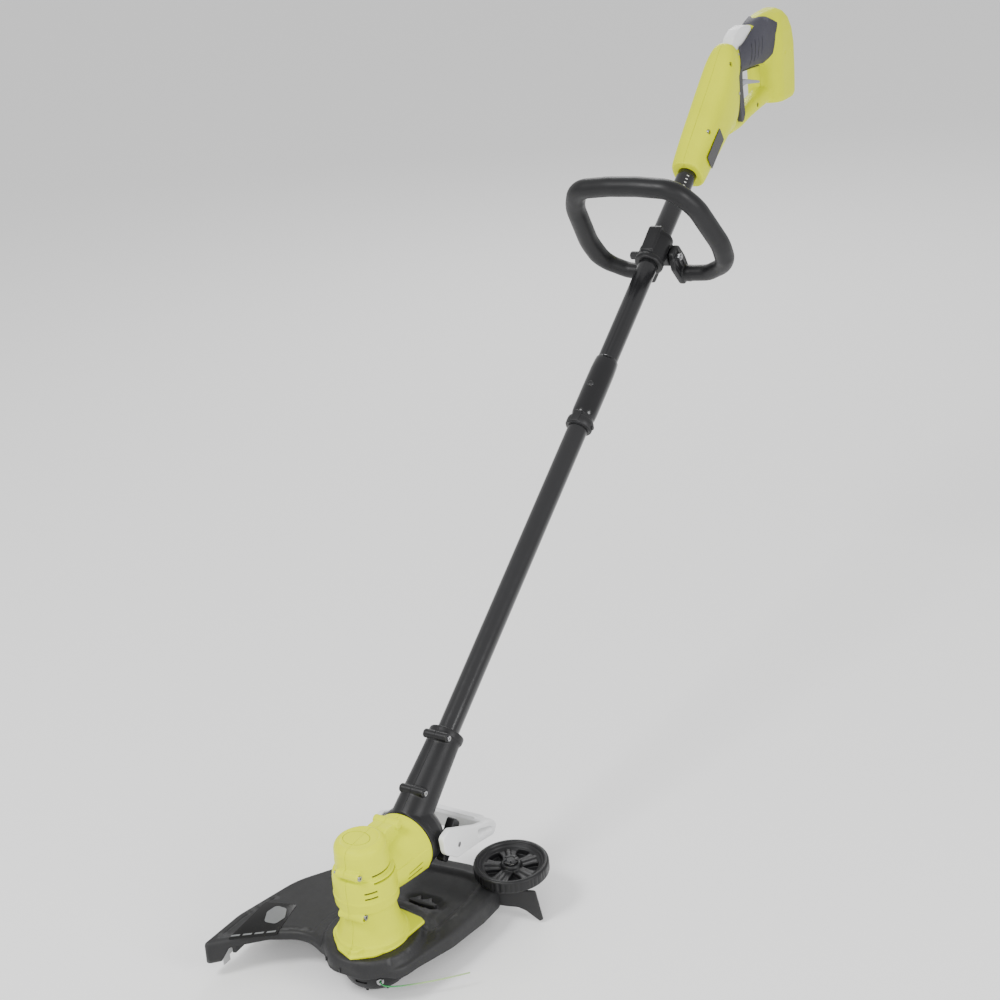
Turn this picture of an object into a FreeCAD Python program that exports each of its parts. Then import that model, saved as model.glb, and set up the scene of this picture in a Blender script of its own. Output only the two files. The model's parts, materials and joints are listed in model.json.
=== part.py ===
"""String trimmer: motor head with guard, spool and edging wheel on a long tube with two handles.

Frame: millimetres, origin on the spool axis at the underside of the spool cap. +Z goes up the motor axis,
+Y goes back towards the operator under the sloping tube, +X is the operator's left.
"""
import FreeCAD, Part
import math
import os

V = FreeCAD.Vector
X_AXIS = V(1, 0, 0)
Y_AXIS = V(0, 1, 0)
Z_AXIS = V(0, 0, 1)

# ---------------------------------------------------------------- driving dimensions
TUBE_R = 12.7              # outside radius of both tubes
TUBE_WALL = 1.2
TUBE_ANGLE = 33.88         # slope of the tube above the head's deck, degrees
TUBE_CROSS_Z = 80.3        # height where the tube axis meets the spool axis
FIT = 0.05                 # radial running clearance of pins, journals and shafts
GAP = 0.4                  # clearance between faces of parts that move apart

ROLL_Z = 122.0             # height of the roll axis of the head, which runs along +Y
DISC_R = 37.0              # round face where the head meets the elbow
DISC_Y = 77.0              # back plane of that face
SLEEVE_TOP_U = 219.0       # stations measured up the tube axis from the spool axis
BOSS_STATIONS = (138.0, 206.0)
BOSS_T = 18.0
JOINT_LOW_U = 643.0
JOINT_HIGH_U = 744.0
JOINT_R = 14.4
CLAMP_LOW_U = 898.0
CLAMP_HIGH_U = 944.0
LOOP_U = 924.0
HANDLE_U = 1051.0          # front face of the rear handle
TUBE_END_U = 1150.0
TUBE_START_U = 128.0

DECK_TOP = 45.0            # upper face of the guard's flat deck
DECK_THICK = 3.0
SKIRT_LOW = 20.0           # lower edge of the skirt at the back and at the tips
LIP_LOW = 32.0             # lower edge round the spool
WING_LOW = 36.0            # lower edge of the cut-in wing
BOSS_TOP = 55.0            # raised seat for the motor housing
BOSS_R = 50.0
SPOOL_R = 36.5
SPOOL_TOP = 38.0
SHAFT_R = 2.5
WHEEL_R = 43.2
WHEEL_X = 78.0
WHEEL_Y = 166.0
WHEEL_LOW = 46.5
WHEEL_HIGH = 61.5
AXLE_R = 4.0
LINE_R = 0.825
EYELET_Z = 17.0
EYELET_ANGLE = -50.0       # direction of the line eyelet round the spool, degrees
SHELL = 2.6                # wall of the moulded housings
MOTOR_R = 22.0
MOTOR_LOW = 78.0
MOTOR_HIGH = 144.0

PEDAL_Y = 114.0            # pivot of the foot pedal
PEDAL_Z = 108.0
PEDAL_IN = 40.0            # inner faces of the pedal's arms
PEDAL_OUT = 47.5
BOLT_T = -16.5             # pinch bolt of the front handle, below the tube axis
BOLT_R = 2.5
HANDLE_TURN = 3.8          # how far the handle is set round the tube, degrees
BOLT_U = 926.0
TRIGGER_Y = 1001.0         # pivot of the trigger
TRIGGER_Z = 746.0
LOCK_Y = 1022.0            # pivot of the lock-off lever
LOCK_Z = 794.0

NODES = {}


# ---------------------------------------------------------------- helpers
def box(x0, x1, y0, y1, z0, z1):
    return Part.makeBox(x1 - x0, y1 - y0, z1 - z0, V(x0, y0, z0))


def cyl(radius, length, base, axis=Z_AXIS):
    return Part.makeCylinder(radius, length, V(*base), axis)


def ring(outer, inner, length, base, axis=Z_AXIS):
    start = V(*base) - axis * 1.0
    return cyl(outer, length, base, axis).cut(Part.makeCylinder(inner, length + 2.0, start, axis))


def join(first, *others):
    return first.fuse(list(others)).removeSplitter() if others else first


def group(shapes):
    return Part.makeCompound(list(shapes))


def mirror_x(shape):
    return shape.mirror(V(0, 0, 0), X_AXIS)


def polygon(points):
    """Closed wire of straight runs."""
    vectors = [V(*p) for p in points]
    return Part.makePolygon(vectors + [vectors[0]])


def outline(corners, place):
    """Closed wire through corners (a, b, radius), each rounded by its own radius, placed in 3-D by place."""
    count = len(corners)
    edges = []
    ends = []
    for i in range(count):
        a, b, radius = corners[i]
        here = V(a, b, 0)
        before = V(corners[i - 1][0], corners[i - 1][1], 0)
        after = V(corners[(i + 1) % count][0], corners[(i + 1) % count][1], 0)
        u = (before - here).normalize()
        w = (after - here).normalize()
        half = u.getAngle(w) / 2.0
        if radius <= 0:
            ends.append((here, here, None))
            continue
        reach = radius / math.tan(half)
        centre = here + (u + w).normalize() * (radius / math.sin(half))
        middle = centre + (here - centre).normalize() * radius
        ends.append((here + u * reach, here + w * reach, middle))
    for i in range(count):
        start, stop, middle = ends[i]
        if middle is not None:
            edges.append(Part.Arc(place(start), place(middle), place(stop)).toShape())
        nxt = ends[(i + 1) % count][0]
        if (nxt - stop).Length > 1e-6:
            edges.append(Part.LineSegment(place(stop), place(nxt)).toShape())
    return Part.Wire(edges)


def in_side_view(p):
    return V(0, p.x, p.y)


def in_plan(p):
    return V(p.x, p.y, 0)


def slab(corners, half_width, edge_radius=0.0):
    """Plate standing in the side view (y, z), centred on X = 0, with rounded long edges."""
    face = Part.Face(outline(corners, in_side_view))
    face.translate(V(-half_width, 0, 0))
    solid = face.extrude(V(2 * half_width, 0, 0))
    if edge_radius <= 0:
        return solid
    rims = [e for e in solid.Edges if abs(abs(e.CenterOfMass.x) - half_width) < 1e-4]
    return solid.makeFillet(edge_radius, rims)


def plan_prism(corners, z0, z1):
    face = Part.Face(outline(corners, in_plan))
    face.translate(V(0, 0, z0))
    return face.extrude(V(0, 0, z1 - z0))


def turned(profile, axis_point=(0, 0, 0), axis=Z_AXIS):
    """Solid of revolution of a closed (radius, height) profile about Z, then moved onto axis."""
    face = Part.Face(polygon([(r, 0, z) for r, z in profile]))
    solid = face.revolve(V(0, 0, 0), Z_AXIS, 360)
    turn = FreeCAD.Rotation(Z_AXIS, axis)
    solid.Placement = FreeCAD.Placement(V(*axis_point), turn)
    return solid


def tube_point(x, t, u):
    """Point at station u up the tube, t above its axis and x to the operator's left."""
    slope = math.radians(TUBE_ANGLE)
    y = u * math.cos(slope) - t * math.sin(slope)
    z = TUBE_CROSS_Z + u * math.sin(slope) + t * math.cos(slope)
    return V(x, y, z)


TUBE_DIR = tube_point(0, 0, 1) - tube_point(0, 0, 0)
TUBE_UP = tube_point(0, 1, 0) - tube_point(0, 0, 0)


def along_tube(radius, u0, u1, x=0.0, t=0.0):
    return Part.makeCylinder(radius, u1 - u0, tube_point(x, t, u0), TUBE_DIR)


def tube_ring(outer, inner, u0, u1):
    return along_tube(outer, u0, u1).cut(along_tube(inner, u0 - 1, u1 + 1))


def on_tube(shape):
    """Places a shape modelled with Z up the tube and Y below it."""
    shape.Placement = FreeCAD.Placement(
        tube_point(0, 0, 0), FreeCAD.Rotation(X_AXIS, TUBE_ANGLE - 90.0)
    ).multiply(shape.Placement)
    return shape


def halves(shape, reach=400.0):
    """Left (+X) and right (-X) halves of a housing split down its middle plane."""
    limits = shape.BoundBox
    low = (limits.YMin - 5, limits.YMax + 5, limits.ZMin - 5, limits.ZMax + 5)
    left = shape.common(box(0.0, reach, *low))
    right = shape.common(box(-reach, 0.0, *low))
    return left, right


def coil(radius, wire, height, turns, base, axis=Z_AXIS):
    """Round wire spring of the given mean radius."""
    pitch = (height - 2 * wire) / turns
    path = Part.makeHelix(pitch, pitch * turns, radius)
    start = V(radius, 0, 0)
    section = Part.Wire(Part.makeCircle(wire, start, Y_AXIS))
    spring = Part.Wire(path.Edges).makePipeShell([section], True, True)
    spring.Placement = FreeCAD.Placement(V(*base) + axis * wire, FreeCAD.Rotation(Z_AXIS, axis))
    return spring


def screw_x(x_head, x_tip, y, z, radius=1.6, head=3.0):
    """Pan-head screw lying along X with its head at x_head."""
    way = 1.0 if x_tip > x_head else -1.0
    shank = Part.makeCylinder(radius, abs(x_tip - x_head), V(x_head, y, z), X_AXIS * way)
    cap = Part.makeCylinder(head, 2.0, V(x_head, y, z), X_AXIS * -way)
    drive = Part.makeCylinder(1.1, 1.4, V(x_head - way * 2.0, y, z), X_AXIS * way)
    return join(shank, cap).cut(drive)


def screw_z(x, y, z_head, z_tip, radius=1.8, head=3.4):
    """Pan-head screw standing along Z with its head at z_head."""
    way = 1.0 if z_tip > z_head else -1.0
    shank = Part.makeCylinder(radius, abs(z_tip - z_head), V(x, y, z_head), Z_AXIS * way)
    cap = Part.makeCylinder(head, 2.2, V(x, y, z_head), Z_AXIS * -way)
    drive = Part.makeCylinder(1.2, 1.4, V(x, y, z_head - way * 2.2), Z_AXIS * way)
    return join(shank, cap).cut(drive)


def polar(radius, degrees, z=0.0):
    return V(radius * math.cos(math.radians(degrees)), radius * math.sin(math.radians(degrees)), z)


def turn_z(shape, degrees, centre=V(0, 0, 0)):
    copy = shape.copy()
    copy.rotate(centre, Z_AXIS, degrees)
    return copy


# ---------------------------------------------------------------- tubes and their joint
JOINT_PIN_U = 697.0
BUTTON_R = 4.0
CABLE_R = 2.4


def tubes():
    button_hole = Part.makeCylinder(BUTTON_R + GAP, 30, tube_point(0, 0, JOINT_PIN_U), TUBE_UP)
    lower = tube_ring(TUBE_R, TUBE_R - TUBE_WALL, TUBE_START_U, JOINT_HIGH_U - 8)
    upper = tube_ring(TUBE_R, TUBE_R - TUBE_WALL, JOINT_HIGH_U - 8, TUBE_END_U)
    spigot = tube_ring(TUBE_R - TUBE_WALL, TUBE_R - 2 * TUBE_WALL, JOINT_LOW_U + 8, JOINT_HIGH_U - 8)
    collar = tube_ring(TUBE_R, TUBE_R - 2 * TUBE_WALL, JOINT_HIGH_U - 8, JOINT_HIGH_U)
    NODES["lower_tube"] = lower.cut(button_hole)
    NODES["upper_tube"] = join(upper, spigot, collar).cut(button_hole)


def joint_sleeve():
    """Thick-walled sleeve over the joint of the tubes, with a tapered neck at its upper end."""
    body = along_tube(JOINT_R, JOINT_LOW_U + 6, JOINT_HIGH_U - 14)
    neck = Part.makeCone(JOINT_R, TUBE_R + 0.6, 14, tube_point(0, 0, JOINT_HIGH_U - 14), TUBE_DIR)
    window = Part.makeCylinder(BUTTON_R + GAP, 30, tube_point(0, 0, JOINT_PIN_U), TUBE_UP)
    bore = along_tube(TUBE_R, JOINT_LOW_U - 1, JOINT_HIGH_U + 1)
    NODES["joint_sleeve"] = join(body, neck).cut(bore).cut(window)
    clip = tube_ring(JOINT_R + 1.2, TUBE_R, JOINT_LOW_U - 4, JOINT_LOW_U + 6)
    ear = Part.makeCylinder(2.6, 5, tube_point(JOINT_R - 1, -2, JOINT_LOW_U + 1), X_AXIS)
    ear_bore = along_tube(TUBE_R, JOINT_LOW_U - 6, JOINT_LOW_U + 8)
    NODES["joint_collar"] = join(clip, ear).cut(ear_bore)


def joint_button():
    """Push button that locks the tubes, on a bent leaf spring inside them."""
    base = tube_point(0, 7.6, JOINT_PIN_U)
    stem = Part.makeCylinder(BUTTON_R, JOINT_R + 2.0 - 7.6, base, TUBE_UP)
    foot = Part.makeCylinder(BUTTON_R + 1.2, 1.2, base, TUBE_UP)
    NODES["joint_button"] = join(stem.makeFillet(1.2, [stem.Edges[0]]), foot)
    leaf = box(-4, 4, -7.2, -6.6, JOINT_PIN_U - 22, JOINT_PIN_U + 8)
    back = box(-4, 4, 8.9, 9.5, JOINT_PIN_U - 22, JOINT_PIN_U)
    bend = box(-4, 4, -7.2, 9.5, JOINT_PIN_U - 22.6, JOINT_PIN_U - 22)
    NODES["button_spring"] = on_tube(join(leaf, back, bend)).cut(along_tube(CABLE_R + GAP, 600, 720))


# ---------------------------------------------------------------- elbow between tube and head
COLLAR_R = 20.0            # journal of the head that turns in the elbow
COLLAR_BORE = 14.0


def elbow_housing():
    """Two halves: a round seat behind the head's disc, a domed back and a sleeve up the tube."""
    face_y = DISC_Y + GAP
    dome = [
        (0, face_y), (DISC_R, face_y), (DISC_R, face_y + 13), (36, face_y + 22), (31, face_y + 31),
        (22, face_y + 38), (10, face_y + 42), (0, face_y + 43),
    ]
    outer = turned(dome, (0, 0, ROLL_Z), Y_AXIS)
    sleeve = Part.makeCone(21.5, 18.6, SLEEVE_TOP_U - 112, tube_point(0, 0, 112), TUBE_DIR)
    lip = along_tube(19.8, SLEEVE_TOP_U - 7, SLEEVE_TOP_U)
    bosses = [Part.makeCylinder(4.6, 30, tube_point(-15, BOSS_T, u), X_AXIS) for u in BOSS_STATIONS]
    lug = cyl(9.0, 2 * PEDAL_IN - 1.0, (-PEDAL_IN + 0.5, PEDAL_Y, PEDAL_Z), X_AXIS)
    body = join(outer, sleeve, lip, lug, *bosses)
    wall = 4.0
    hollow = turned(
        [(0, face_y + wall), (DISC_R - wall, face_y + wall), (DISC_R - wall, face_y + 13),
         (31.5, face_y + 20), (27, face_y + 28), (18, face_y + 34), (0, face_y + 38)],
        (0, 0, ROLL_Z), Y_AXIS,
    )
    seat = cyl(COLLAR_R + FIT, wall + 2, (0, face_y - 1, ROLL_Z), Y_AXIS)
    bore = along_tube(TUBE_R, 120, SLEEVE_TOP_U + 1)
    pin_bore = cyl(3.0, 2 * PEDAL_OUT, (-PEDAL_OUT, PEDAL_Y, PEDAL_Z), X_AXIS)
    screw_ways = [
        Part.makeCylinder(1.6, 50, tube_point(-25, BOSS_T, u), X_AXIS) for u in BOSS_STATIONS
    ]
    spring_room = cyl(6.0, 18, (-9, PEDAL_Y, PEDAL_Z), X_AXIS)
    for cutter in [hollow, seat, bore, pin_bore, spring_room] + screw_ways:
        body = body.cut(cutter)
    NODES["elbow_left"], NODES["elbow_right"] = halves(body)
    screws = []
    for u in BOSS_STATIONS:
        at = tube_point(0, BOSS_T, u)
        screws.append(screw_x(15.0, -12.0, at.y, at.z))
    NODES["elbow_screws"] = group(screws)
    plug = along_tube(TUBE_R - TUBE_WALL, TUBE_START_U, TUBE_START_U + 12)
    NODES["tube_plug"] = plug.cut(along_tube(3.4, TUBE_START_U - 1, TUBE_START_U + 13))


def pedal_parts():
    """U-shaped foot pedal that releases the roll of the head, its pivot pin and its return spring."""
    side = [
        (83, 133, 5), (100, 137, 6), (150, 109, 4), (186, 95, 4), (192, 85, 4), (184, 77, 5),
        (150, 86, 8), (108, 94, 10), (86, 112, 8),
    ]
    whole = slab(side, PEDAL_OUT)
    inside = slab([(70, 60, 0), (176, 60, 0), (176, 150, 0), (70, 150, 0)], PEDAL_IN)
    arms = whole.cut(inside)
    pin_way = cyl(3.0 + FIT, 2 * PEDAL_OUT + 4, (-PEDAL_OUT - 2, PEDAL_Y, PEDAL_Z), X_AXIS)
    NODES["foot_pedal"] = arms.cut(pin_way)
    pin = cyl(3.0, 2 * PEDAL_OUT - 1, (-PEDAL_OUT + 0.5, PEDAL_Y, PEDAL_Z), X_AXIS)
    NODES["pedal_pin"] = pin
    NODES["pedal_spring"] = coil(4.3, 0.6, 15.0, 6, (-7.5, PEDAL_Y, PEDAL_Z), X_AXIS)


# ---------------------------------------------------------------- motor head
HOUSING_SCREWS = ((31.0, 150.0), (30.0, 100.0))   # distance in front of the motor axis, height
HOUSING_TOP = 178.0
LUG_Y = 51.0               # round bar on top of the arm
LUG_Z = 165.0


def housing():
    """Motor housing in two halves with a conical arm back to the round roll face."""
    outer = [
        (0, BOSS_TOP), (41.5, BOSS_TOP), (39.4, 61.5), (33.6, 73), (30.8, 86), (30.6, 97), (33.8, 101.5),
        (34.6, 109), (34.6, 124), (32.8, 136), (29, 142), (28.6, 168), (26, 173.5), (21, HOUSING_TOP - 0.5),
        (0, HOUSING_TOP),
    ]
    inner = [
        (0, BOSS_TOP + SHELL), (38, BOSS_TOP + SHELL), (36.6, 61), (31, 72.6), (28.2, 86), (28, 97.6),
        (31.2, 103), (32, 109), (32, 123.6), (30.2, 135), (26.4, 141), (26, 167), (23.6, 171.6),
        (20, HOUSING_TOP - 3.2), (0, HOUSING_TOP - SHELL),
    ]
    can = turned(outer)
    arm = Part.makeCone(27.0, DISC_R, 46, V(0, 26, ROLL_Z), Y_AXIS)
    rim = cyl(DISC_R, DISC_Y - 71, (0, 71, ROLL_Z), Y_AXIS)
    lug = join(box(-13, 13, 22, LUG_Y, 148, LUG_Z - 3), cyl(5.0, 32, (-16, LUG_Y, LUG_Z), X_AXIS))
    flange = plan_prism(
        [(-41, 12, 8), (-41, -22, 18), (-14, -41, 4), (4, -49, 2), (28, -34, 20), (40, 2, 12), (43, 38, 2),
         (10, 44, 10), (-30, 40, 14)], BOSS_TOP, BOSS_TOP + 4.0,
    )
    bosses = [cyl(4.4, 34, (-17, -y, z), X_AXIS) for y, z in HOUSING_SCREWS]
    body = join(can, arm, rim, lug, flange, *bosses)
    hollow = join(turned(inner), Part.makeCone(24.0, DISC_R - 4, 48, V(0, 22, ROLL_Z), Y_AXIS))
    body = body.cut(hollow)
    floor = cyl(31.0, 3.6, (0, 0, MOTOR_LOW - 3.6), Z_AXIS)
    back = cyl(DISC_R - 2, 4, (0, DISC_Y - 4, ROLL_Z), Y_AXIS)
    body = join(body, floor, back)
    vents = [box(18, 40, -28, -17, z, z + 2.2) for z in (120.5, 127.0)]
    vents += [box(22, 40, -15, 26, z, z + 2.2) for z in (138.0, 144.5)]
    vents += [box(24, 40, 38, 57, z, z + 2.2) for z in (106.0, 112.0)]
    cutters = vents + [mirror_x(v) for v in vents]
    cutters.append(cyl(COLLAR_BORE, 8, (0, DISC_Y - 6, ROLL_Z), Y_AXIS))
    cutters.append(cyl(9.0, 40, (0, 0, 50), Z_AXIS))
    cutters += [cyl(1.6, 44, (-20, -y, z), X_AXIS) for y, z in HOUSING_SCREWS]
    cutters += [cyl(3.2, 20, (17, -y, z), X_AXIS) for y, z in HOUSING_SCREWS]
    cutters += [cyl(1.8, 8, (x, y, MOTOR_LOW - 6), Z_AXIS) for x, y in ((12.5, 0), (-12.5, 0))]
    cutters += [cyl(1.8, 8, (p.x, p.y, BOSS_TOP - 1), Z_AXIS) for p in guard_screw_places()]
    for cutter in cutters:
        body = body.cut(cutter)
    NODES["housing_left"], NODES["housing_right"] = halves(body)
    NODES["housing_screws"] = group([screw_x(17.0, -14.0, -y, z) for y, z in HOUSING_SCREWS])


def guard_screw_places():
    return [polar(30.0, a) for a in (100.0, 215.0, 325.0)]


def roll_collar():
    """Flanged journal on the back of the head, captured in the elbow, with two latch notches."""
    neck = cyl(COLLAR_R, 11, (0, DISC_Y, ROLL_Z), Y_AXIS)
    flange = cyl(27.0, 4.0, (0, DISC_Y + 5.0, ROLL_Z), Y_AXIS)
    bore = cyl(COLLAR_BORE, 20, (0, DISC_Y - 2, ROLL_Z), Y_AXIS)
    body = join(neck, flange).cut(bore)
    notch = box(-3, 3, DISC_Y + 4, DISC_Y + 10, ROLL_Z - 28, ROLL_Z - 23.5)
    for turn in (0, 90):
        cutter = notch.copy()
        cutter.rotate(V(0, 0, ROLL_Z), Y_AXIS, -turn)
        body = body.cut(cutter)
    NODES["roll_collar"] = body


def motor():
    """Sealed motor: can, end cap, two bearings and its mounting screws."""
    can = ring(MOTOR_R, MOTOR_R - 1.5, MOTOR_HIGH - MOTOR_LOW, (0, 0, MOTOR_LOW))
    base = ring(MOTOR_R, 5.5, 2.0, (0, 0, MOTOR_LOW))
    magnets = ring(MOTOR_R - 1.5, 17.0, 40, (0, 0, MOTOR_LOW + 10))
    gaps = box(-30, 30, -3, 3, MOTOR_LOW + 9, MOTOR_LOW + 51)
    screws = [(12.5, 0), (-12.5, 0)]
    shell = join(can, base)
    for x, y in screws:
        shell = shell.cut(cyl(1.8, 6, (x, y, MOTOR_LOW - 1)))
    NODES["motor_can"] = shell
    NODES["motor_magnets"] = magnets.cut(gaps)
    cap = ring(MOTOR_R - 1.5, 5.5, 5.0, (0, 0, MOTOR_HIGH - 5.0))
    hub = ring(8.0, 5.5, 3.0, (0, 0, MOTOR_HIGH))
    NODES["motor_end_cap"] = join(cap, hub)
    bearings = [ring(5.5, SHAFT_R + FIT, 4.0, (0, 0, z)) for z in (MOTOR_LOW, MOTOR_HIGH - 3.0)]
    NODES["motor_bearings"] = group(bearings)
    NODES["motor_screws"] = group([screw_z(x, y, MOTOR_LOW - 3.6, MOTOR_LOW + 3.0) for x, y in screws])
    lead_r = 1.0
    leads = []
    for side in (-4.0, 4.0):
        rise = Part.makeCylinder(lead_r, 20, V(side, 15.0, MOTOR_HIGH + lead_r), Y_AXIS)
        foot = Part.makeCylinder(lead_r, 3.0, V(side, 15.0, MOTOR_HIGH), Z_AXIS)
        leads.append(join(rise, foot))
    NODES["motor_leads"] = group(leads)


def rotor():
    """Armature and shaft, which carry the spool head directly."""
    shaft = cyl(SHAFT_R, MOTOR_HIGH + 1 - 16, (0, 0, 16.0))
    core = cyl(15.8, 34, (0, 0, MOTOR_LOW + 13))
    slots = [turn_z(box(11, 17, -1, 1, MOTOR_LOW + 12, MOTOR_LOW + 48), 30 * i) for i in range(12)]
    for slot in slots:
        core = core.cut(slot)
    commutator = cyl(6.5, 10, (0, 0, MOTOR_LOW + 48))
    NODES["rotor"] = join(shaft, core, commutator)


# ---------------------------------------------------------------- guard, blade, wheel
def guard_plan(shrink=0.0):
    """Top view of the guard: round sweep at the back, a cut-in for the spool, a flat left side."""
    points = [
        (-173, -90, 5), (-163, -80, 6), (-116, -38, 30), (-76, -20, 42), (-40, -36, 26), (-20, -54, 26),
        (22, -54, 26), (56, -30, 24), (74, 40, 60), (79, 98, 40), (77, 139, 4), (60, 160, 10),
        (24, 163, 30), (-30, 158, 60), (-98, 122, 70), (-146, 56, 90), (-168, -24, 60),
    ]
    face = Part.Face(outline(points, in_plan))
    if shrink:
        face = face.makeOffset2D(-shrink)
    return face


def raise_face(face, z0, z1):
    copy = face.copy()
    copy.translate(V(0, 0, z0))
    return copy.extrude(V(0, 0, z1 - z0))


def guard():
    outer_face = guard_plan()
    inner_face = guard_plan(3.0)
    deck = raise_face(outer_face, SKIRT_LOW, DECK_TOP)
    under = raise_face(inner_face, SKIRT_LOW - 1, DECK_TOP - DECK_THICK)
    boss = Part.makeCone(BOSS_R + 6, BOSS_R, BOSS_TOP - DECK_TOP, V(0, 0, DECK_TOP), Z_AXIS)
    boss_low = Part.makeCone(BOSS_R + 3, BOSS_R - 3, BOSS_TOP - DECK_TOP, V(0, 0, DECK_TOP - 3), Z_AXIS)
    lobe = cyl(15, 6.0, (WHEEL_X, WHEEL_Y, DECK_TOP - 6.0))
    arm = plan_prism([(56, 128, 0), (84, 134, 0), (93, 166, 2), (63, 166, 2)], DECK_TOP - 6.0, DECK_TOP)
    seat = cyl(8.0, 1.1, (WHEEL_X, WHEEL_Y, DECK_TOP))
    body = join(deck.cut(under), boss).cut(boss_low)
    body = join(body, lobe, arm, seat, fin())
    wing = box(-152, -44, -60, 30, SKIRT_LOW - 1, WING_LOW)
    front = box(-45, 62, -70, -8, SKIRT_LOW - 1, LIP_LOW)
    side = slab([(-60, 10, 0), (-60, LIP_LOW, 0), (-8, LIP_LOW, 0), (132, SKIRT_LOW, 0), (132, 10, 0)], 22.0)
    side.translate(V(72, 0, 0))
    cutters = [wing, front, side]
    cutters += [
        cyl(12.0, 20, (0, 0, 40)),
        cyl(AXLE_R - 1.0, 20, (WHEEL_X, WHEEL_Y, 34)),
    ]
    cutters += [cyl(1.8, 14, (p.x, p.y, 46)) for p in guard_screw_places()]
    cutters += [cyl(1.8, 30, (p.x, p.y, 20)) for p in blade_screw_places()]
    for cutter in cutters:
        body = body.cut(cutter)
    NODES["guard"] = body
    NODES["guard_screws"] = group(
        [screw_z(p.x, p.y, BOSS_TOP - 3.0, BOSS_TOP + 4.0) for p in guard_screw_places()]
    )


def fin():
    """Plate under the wheel that ends in a pointed foot."""
    run = 48.0
    points = [
        (0, 20, 0), (0, 44, 0), (6, 44, 0), (9, 41, 0), (43, 42, 0), (49, 4, 2), (45, 1.5, 2),
        (30, 14, 3), (21, 18, 6), (12, 18, 4),
    ]
    edge = outline(points, lambda p: V(p.x, 0, p.y))
    plate = Part.Face(edge).extrude(V(0, 3.2, 0))
    plate.rotate(V(0, 0, 0), Z_AXIS, math.degrees(math.atan2(15.0, run)))
    plate.translate(V(76.5, 135.5, 0))
    return plate


def blade_screw_places():
    return [V(-152.0, -52.0, 0), V(-152.0, -40.0, 0)]


def cutoff_blade():
    """Bent steel blade under the guard's tip that trims the line to length."""
    foot = box(-158.5, -146.5, -60, -34, 40.6, DECK_TOP - DECK_THICK)
    leaf = box(-158.5, -157.1, -70, -34, 18, DECK_TOP - DECK_THICK)
    tooth = box(-158.5, -157.1, -70, -59, 11, 30)
    body = join(foot, leaf, tooth)
    for p in blade_screw_places():
        body = body.cut(cyl(1.8, 30, (p.x, p.y, 20)))
    NODES["cutoff_blade"] = body
    NODES["blade_screws"] = group(
        [screw_z(p.x, p.y, 40.6, DECK_TOP - 0.2) for p in blade_screw_places()]
    )


def edge_wheel():
    """Edging wheel with five spokes, treaded rim and hub, on a shoulder screw from the guard."""
    centre = (WHEEL_X, WHEEL_Y)
    rim = ring(WHEEL_R, WHEEL_R - 7.0, WHEEL_HIGH - WHEEL_LOW, (*centre, WHEEL_LOW))
    web = ring(WHEEL_R - 6.5, 7.0, 4.5, (*centre, WHEEL_LOW + 4.0))
    hub = ring(8.5, 6.0, WHEEL_HIGH - WHEEL_LOW - 1.7, (*centre, WHEEL_LOW + 0.5))
    body = join(rim, web, hub)
    window = plan_prism([(13, -4.5, 1.5), (32, -11, 3), (32, 11, 3), (13, 4.5, 1.5)], 40, 70)
    tread = box(WHEEL_R - 1.2, WHEEL_R + 2, -1.1, 1.1, WHEEL_LOW - 1, WHEEL_HIGH + 1)
    middle = V(WHEEL_X, WHEEL_Y, 0)
    for i in range(5):
        cutter = window.copy()
        cutter.rotate(V(0, 0, 0), Z_AXIS, 72 * i + 20)
        cutter.translate(middle)
        body = body.cut(cutter)
    for i in range(30):
        cutter = tread.copy()
        cutter.rotate(V(0, 0, 0), Z_AXIS, 12 * i)
        cutter.translate(middle)
        body = body.cut(cutter)
    NODES["edge_wheel"] = body
    NODES["wheel_bush"] = ring(6.0, AXLE_R + FIT, 12.7, (*centre, WHEEL_LOW + 0.8))
    post = cyl(AXLE_R, WHEEL_HIGH - 0.4 - DECK_TOP - 1.1, (*centre, DECK_TOP + 1.1))
    thread = cyl(AXLE_R - 1.0, 10.1, (*centre, DECK_TOP - 9.0))
    head = cyl(7.0, 2.6, (*centre, WHEEL_HIGH - 0.4))
    drive = cyl(2.0, 2.0, (*centre, WHEEL_HIGH + 0.6))
    NODES["wheel_axle"] = join(post, thread, head).cut(drive)


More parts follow.
